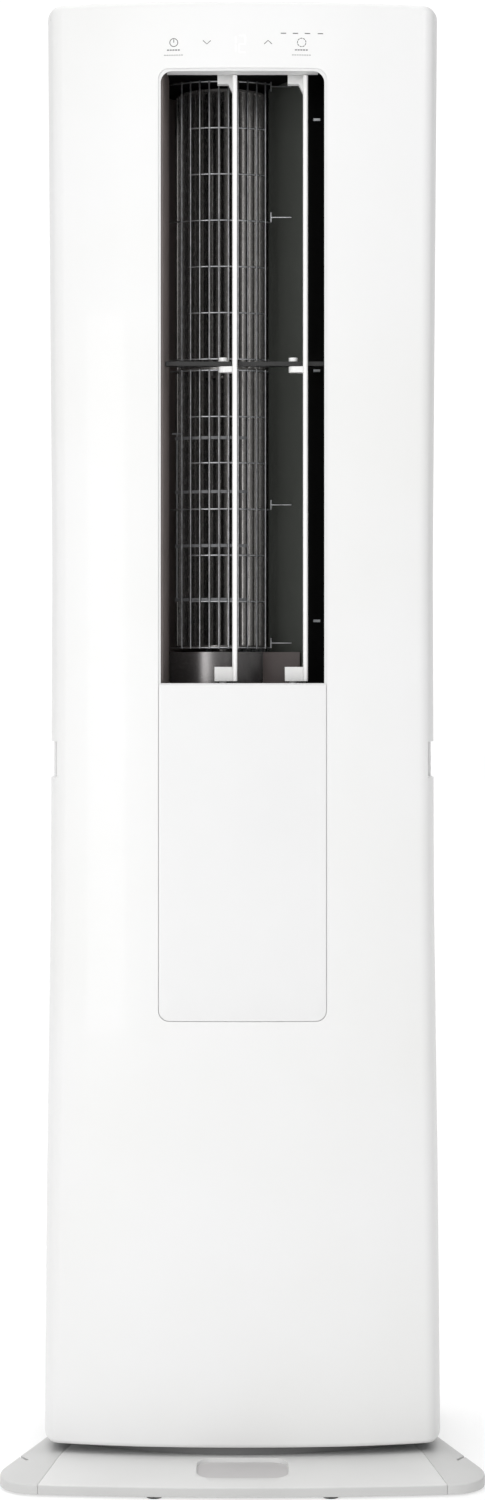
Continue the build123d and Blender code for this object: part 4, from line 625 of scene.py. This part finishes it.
# The fan wheel, with blades that curve in small steps instead of the plain ones
wheel = {
    "radius": 58, "blades": 33, "bladeInner": 44.5, "bladeStraight": 6.4, "bladeThickness": 1.4, "bladeSteps": 8,
    "bottom": 986, "top": 1675, "disc": 3, "hub": (14, 972, 987), "stub": (4, 1674, 1688), "bore": (5.05, 971, 986),
}


def upright(x, y, bottom, top, radius, sides=64):
    ring = [(x + radius * math.cos(2 * math.pi * k / sides), y + radius * math.sin(2 * math.pi * k / sides))
            for k in range(sides)]
    return loftRings([[(px, py, z) for px, py in ring] for z in (bottom, top)])


w = wheel
# Each blade starts straight outward and bends until it is in line with the rim
bendFrom = w["bladeInner"] + w["bladeStraight"]
bendRadius = w["radius"] - w["bladeThickness"] - bendFrom
curve = [(w["bladeInner"], 0)]
for step in range(w["bladeSteps"] + 1):
    turn = math.radians(90 * step / w["bladeSteps"])
    curve.append((bendFrom + bendRadius * math.sin(turn), bendRadius * (1 - math.cos(turn))))
blade = stroke(curve, w["bladeThickness"])
parts = []
for number in range(w["blades"]):
    turn = 2 * math.pi * number / w["blades"]
    ring = [(g["centreX"] + x * math.cos(turn) - y * math.sin(turn),
             g["centreY"] + x * math.sin(turn) + y * math.cos(turn)) for x, y in blade]
    parts.append(loftRings([[(x, y, z) for x, y in ring]
                            for z in (w["bottom"] + w["disc"] / 2, w["top"] - w["disc"] / 2)]))
discBottoms = {"low": w["bottom"], "high": w["top"] - w["disc"],
               "middle": (w["bottom"] + w["top"]) / 2 - w["disc"] / 2}
for where, bottom in discBottoms.items():
    disc = upright(g["centreX"], g["centreY"], bottom, bottom + w["disc"], w["radius"])
    # The middle disc is a ring, open inside the blades
    if where == "middle":
        cut(disc, upright(g["centreX"], g["centreY"], bottom - 5, bottom + 10,
                          w["bladeInner"] - w["disc"]))
    parts.append(disc)
hub, stub, bore = [upright(g["centreX"], g["centreY"], bottom, top, radius)
                   for radius, bottom, top in (w["hub"], w["stub"], w["bore"])]
cut(hub, bore)
fanWheel = joinAs(parts + [hub, stub], "fanWheel", "filledNylon", ["cross_flow_fan"], "fan")
pick(fanWheel)
bpy.ops.object.shade_smooth_by_angle(angle=math.radians(40))
print("fan wheel made")

# The foot: one moulding that falls from the cabinet to a low rim, cut into four pieces
foot = {
    "reach": 92, "frontRadius": 2167, "frontHalf": 243, "cornerRadius": 46, "cornerTurn": 80, "sideRadius": 90,
    "sideTurn": 105.5, "rearHalf": 236, "wingBack": 33, "underside": 2, "rim": 13.6, "top": 25,
    "innerHalf": 205, "innerCorner": 18, "innerSide": 60, "innerTurn": 88, "innerRear": 222, "innerBack": 209,
    "creaseMm": 2, "seam": 0.5, "seamFront": 240, "seamBack": 207, "seamBendDepth": 60,
    "recessWidth": 108, "recessLength": 60, "recessCorner": 18, "recessSink": 5, "recessDepth": 32,
    "slotLength": 44, "slotWidth": 3.2, "slotX": 262, "slotDepth": 34, "slotTurn": 72, "edge": 0.5,
    "padShareX": 0.985, "padShareY": 0.97, "padLow": 0.3, "padHigh": 0.4,
}


def footHalf(outer, inset=0):
    f = foot
    apex = cabinet["front"] - f["reach"] if outer else cabinet["front"]
    radius, half = (f["frontRadius"], f["frontHalf"]) if outer else (cabinet["frontRadius"], f["innerHalf"])
    corner, side = (f["cornerRadius"], f["sideRadius"]) if outer else (f["innerCorner"], f["innerSide"])
    sideTurn = f["sideTurn"] if outer else f["innerTurn"]
    rearHalf = f["rearHalf"] if outer else f["innerRear"]
    rear = cabinet["back"] if outer else f["innerBack"]
    firstTurn = math.degrees(math.asin(half / radius))
    return followChain((0, apex + inset), 0, [
        (radius - inset, firstTurn, 24),
        (corner - inset, f["cornerTurn"] - firstTurn, 20),
        (side - inset, sideTurn - f["cornerTurn"], 10),
        ("to", rearHalf - inset, f["wingBack"], 8),
        ("to", rearHalf - inset, rear - inset, 6),
        ("to", 0, rear - inset, 8),
    ])


def footForm():
    f = foot
    rim, inner = footHalf(True), footHalf(False)
    rings = [wholeRing(footHalf(True, 0.8), f["underside"]), wholeRing(rim, f["underside"] + 0.8)]
    slope = (f["top"] - f["rim"]) / f["reach"]
    # The crease between rim and slope is rounded: a few rings along a quarter turn
    for step in range(7):
        turn = math.radians(90 * step / 6)
        inset = f["creaseMm"] * (1 - math.cos(turn))
        height = f["rim"] - f["creaseMm"] * (1 - math.sin(turn)) + inset * slope
        share = inset / f["reach"]
        ring = [(a[0] + (b[0] - a[0]) * share, a[1] + (b[1] - a[1]) * share) for a, b in zip(rim, inner)]
        rings.append(wholeRing(ring, height))
    for part in range(1, 7):
        share = f["creaseMm"] / f["reach"] + (1 - f["creaseMm"] / f["reach"]) * part / 6
        ring = [(a[0] + (b[0] - a[0]) * share, a[1] + (b[1] - a[1]) * share) for a, b in zip(rim, inner)]
        rings.append(wholeRing(ring, f["rim"] + (f["top"] - f["rim"]) * share))
    return loftRings(rings)


# An upright prism over a polygon in plan
def prism(outline, bottom=-10, top=60):
    return loftRings([[(x, y, z) for x, y in outline] for z in (bottom, top)])


def footRegion(which):
    f, gap = foot, foot["seam"] / 2
    front, bend, back = cabinet["front"] - f["reach"], cabinet["front"] + f["seamBendDepth"], f["wingBack"]
    lean = (f["seamFront"] - f["seamBack"]) / (f["reach"] + f["seamBendDepth"])
    ahead = f["seamFront"] + lean * 40
    if which == 0:
        half = [(ahead - gap, front - 40), (f["seamBack"] - gap, bend), (f["seamBack"] - gap, back - gap)]
        return half + [(-x, y) for x, y in reversed(half)]
    if which == 2:
        return [(-400, back + gap), (400, back + gap), (400, 260), (-400, 260)]
    side = which
    return [(side * (ahead + gap), front - 40), (side * 400, front - 40), (side * 400, back - gap),
            (side * (f["seamBack"] + gap), back - gap), (side * (f["seamBack"] + gap), bend)]


def rounded(width, length, corner, steps=8):
    ring = []
    for cx, cy, start in ((1, -1, -90), (1, 1, 0), (-1, 1, 90), (-1, -1, 180)):
        for step in range(steps + 1):
            turn = math.radians(start + 90 * step / steps)
            ring.append((cx * (width / 2 - corner) + corner * math.cos(turn),
                         cy * (length / 2 - corner) + corner * math.sin(turn)))
    return ring


footNodes = {0: ("footFront", "base_front"), -1: ("footLeftWing", "base_left_wing"),
             1: ("footRightWing", "base_right_wing"), 2: ("footRear", "base_rear")}
for which, (pieceName, nodeName) in footNodes.items():
    f = foot
    piece = footForm()
    cut(piece, prism(footRegion(which)), "INTERSECT")
    if which == 0:
        fall = (f["top"] - f["rim"]) / f["reach"]
        ring = rounded(f["recessWidth"], f["recessLength"], f["recessCorner"])
        middleY = cabinet["front"] - f["recessDepth"]
        tool = []
        for lift in (-f["recessSink"], 20):
            tool.append([(x, middleY + y, f["top"] + (y - f["recessDepth"]) * fall + lift) for x, y in ring])
        cut(piece, loftRings(tool))
        # The pad of painted shade is a little smaller than the recess, and reaches just through its bottom
        padRing = [(x * f["padShareX"], y * f["padShareY"]) for x, y in ring]
        recessShadePad = loftRings([[(x, middleY + y, f["top"] + (y - f["recessDepth"]) * fall + lift)
                                for x, y in padRing]
                               for lift in (-f["recessSink"] - f["padLow"], -f["recessSink"] + f["padHigh"])])
        dress(recessShadePad, "recessShadePad", "recessShadeGrey", "cabinet")
    # Each wing has a slot for a strap
    elif which != 2:
        turn = math.radians(which * f["slotTurn"])
        ring = []
        for x, y in rounded(f["slotLength"], f["slotWidth"], f["slotWidth"] / 2 - 0.01):
            ring.append((which * f["slotX"] + x * math.cos(turn) - y * math.sin(turn),
                         cabinet["front"] + f["slotDepth"] + x * math.sin(turn) + y * math.cos(turn)))
        cut(piece, prism(ring))
    softenEdges(piece, f["edge"], angle=40)
    # The wings take the darker grey of painted shade
    dress(piece, pieceName, "wingShadedGreyAbs" if abs(which) == 1 else "satinGreyAbs", "cabinet", [nodeName])
print("foot made")

# The photograph was taken level with the middle of the cabinet, with a long lens
shot = {"distance": 3.5, "height": 0.9216, "focalPixels": 2957.5, "pixelHeight": 1500, "horizonPixels": 700}
deselectAll()
bpy.ops.object.camera_add(location=(0, cabinet["front"] / 1000 - shot["distance"], shot["height"]),
                          rotation=(math.radians(90), 0, 0))
camera = bpy.context.object
camera.name = "photoCamera"
camera.data.sensor_fit = "VERTICAL"
camera.data.sensor_height = 36
camera.data.lens = shot["focalPixels"] / shot["pixelHeight"] * camera.data.sensor_height
camera.data.shift_y = (shot["horizonPixels"] - shot["pixelHeight"] / 2) / shot["pixelHeight"]
camera.data.clip_end = 50
bpy.context.scene.camera = camera

# A pale floor, a soft key light from the left, and a pale sky that dims towards the right
bpy.ops.mesh.primitive_plane_add(size=120, location=(0, 0, 0))
floor = bpy.context.object
floor.name = "studioFloor"
settle(floor)
floorPaint = makeMaterial("matWhitePaint", {"colour": "#BCBCBC", "colourNear": "#BABABA", "blotchMm": 900,
                                            "grainMm": 6, "roughness": 0.9, "roughnessSpread": 0.03, "bump": 0.02,
                                            "sockets": {"Emission Color": (1, 1, 1, 1), "Emission Strength": 0.5}})
floor.data.materials.append(floorPaint)

lights = {
    "keyLeft": {"place": (-1.9, -4.5, 1.0), "aim": (0, 0, 0.8), "size": (0.8, 2.0), "power": 36},
    "frontHigh": {"place": (-0.3, -4.0, 2.6), "aim": (0, 0, 0.3), "size": (2.4, 1.6), "power": 25},
    "fillRight": {"place": (2.2, -1.8, 2.7), "aim": (0.2, 0, 1.7), "size": (1.0, 1.0), "power": 12},
}
for lightName, light in lights.items():
    deselectAll()
    bpy.ops.object.light_add(type="AREA", location=light["place"])
    lamp = bpy.context.object
    lamp.name = lightName
    lamp.data.shape = "RECTANGLE"
    lamp.data.size, lamp.data.size_y = light["size"]
    lamp.data.energy = light["power"]
    lamp.rotation_euler = (Vector(light["aim"]) - Vector(light["place"])).to_track_quat("-Z", "Y").to_euler()
sky = bpy.data.worlds.new("paleSky")
sky.use_nodes = True
heading = addNode(sky.node_tree, "ShaderNodeTexCoord")
split = addNode(sky.node_tree, "ShaderNodeSeparateXYZ", links={"Vector": (heading, "Generated")})
# Brightness by heading: even around, white behind the cabinet, brighter overhead, and all dimmed on the right
ranges = [("Y", -0.3, 0.3, 0.32, 0.58), ("Y", 0.86, 0.96, 0.0, 0.5), ("Z", 0.35, 1.0, 0.0, 1.4)]
sideRange = ("X", 0.1, 0.9, 1.0, 0.15)


def rangeNode(axis, fromMin, fromMax, toMin, toMax):
    return addNode(sky.node_tree, "ShaderNodeMapRange",
                   inputs={"From Min": fromMin, "From Max": fromMax, "To Min": toMin, "To Max": toMax},
                   links={"Value": (split, axis)})


total = rangeNode(*ranges[0])
for row in ranges[1:]:
    total = addNode(sky.node_tree, "ShaderNodeMath", {"operation": "ADD"},
                    links={0: (total, 0), 1: (rangeNode(*row), "Result")})
strength = addNode(sky.node_tree, "ShaderNodeMath", {"operation": "MULTIPLY"},
                   links={0: (total, "Value"), 1: (rangeNode(*sideRange), "Result")})
background = sky.node_tree.nodes["Background"]
background.inputs["Color"].default_value = (1, 1, 1, 1)
sky.node_tree.links.new(strength.outputs["Value"], background.inputs["Strength"])
bpy.context.scene.world = sky
bpy.context.scene.view_settings.view_transform = "Standard"
print("camera and light set")
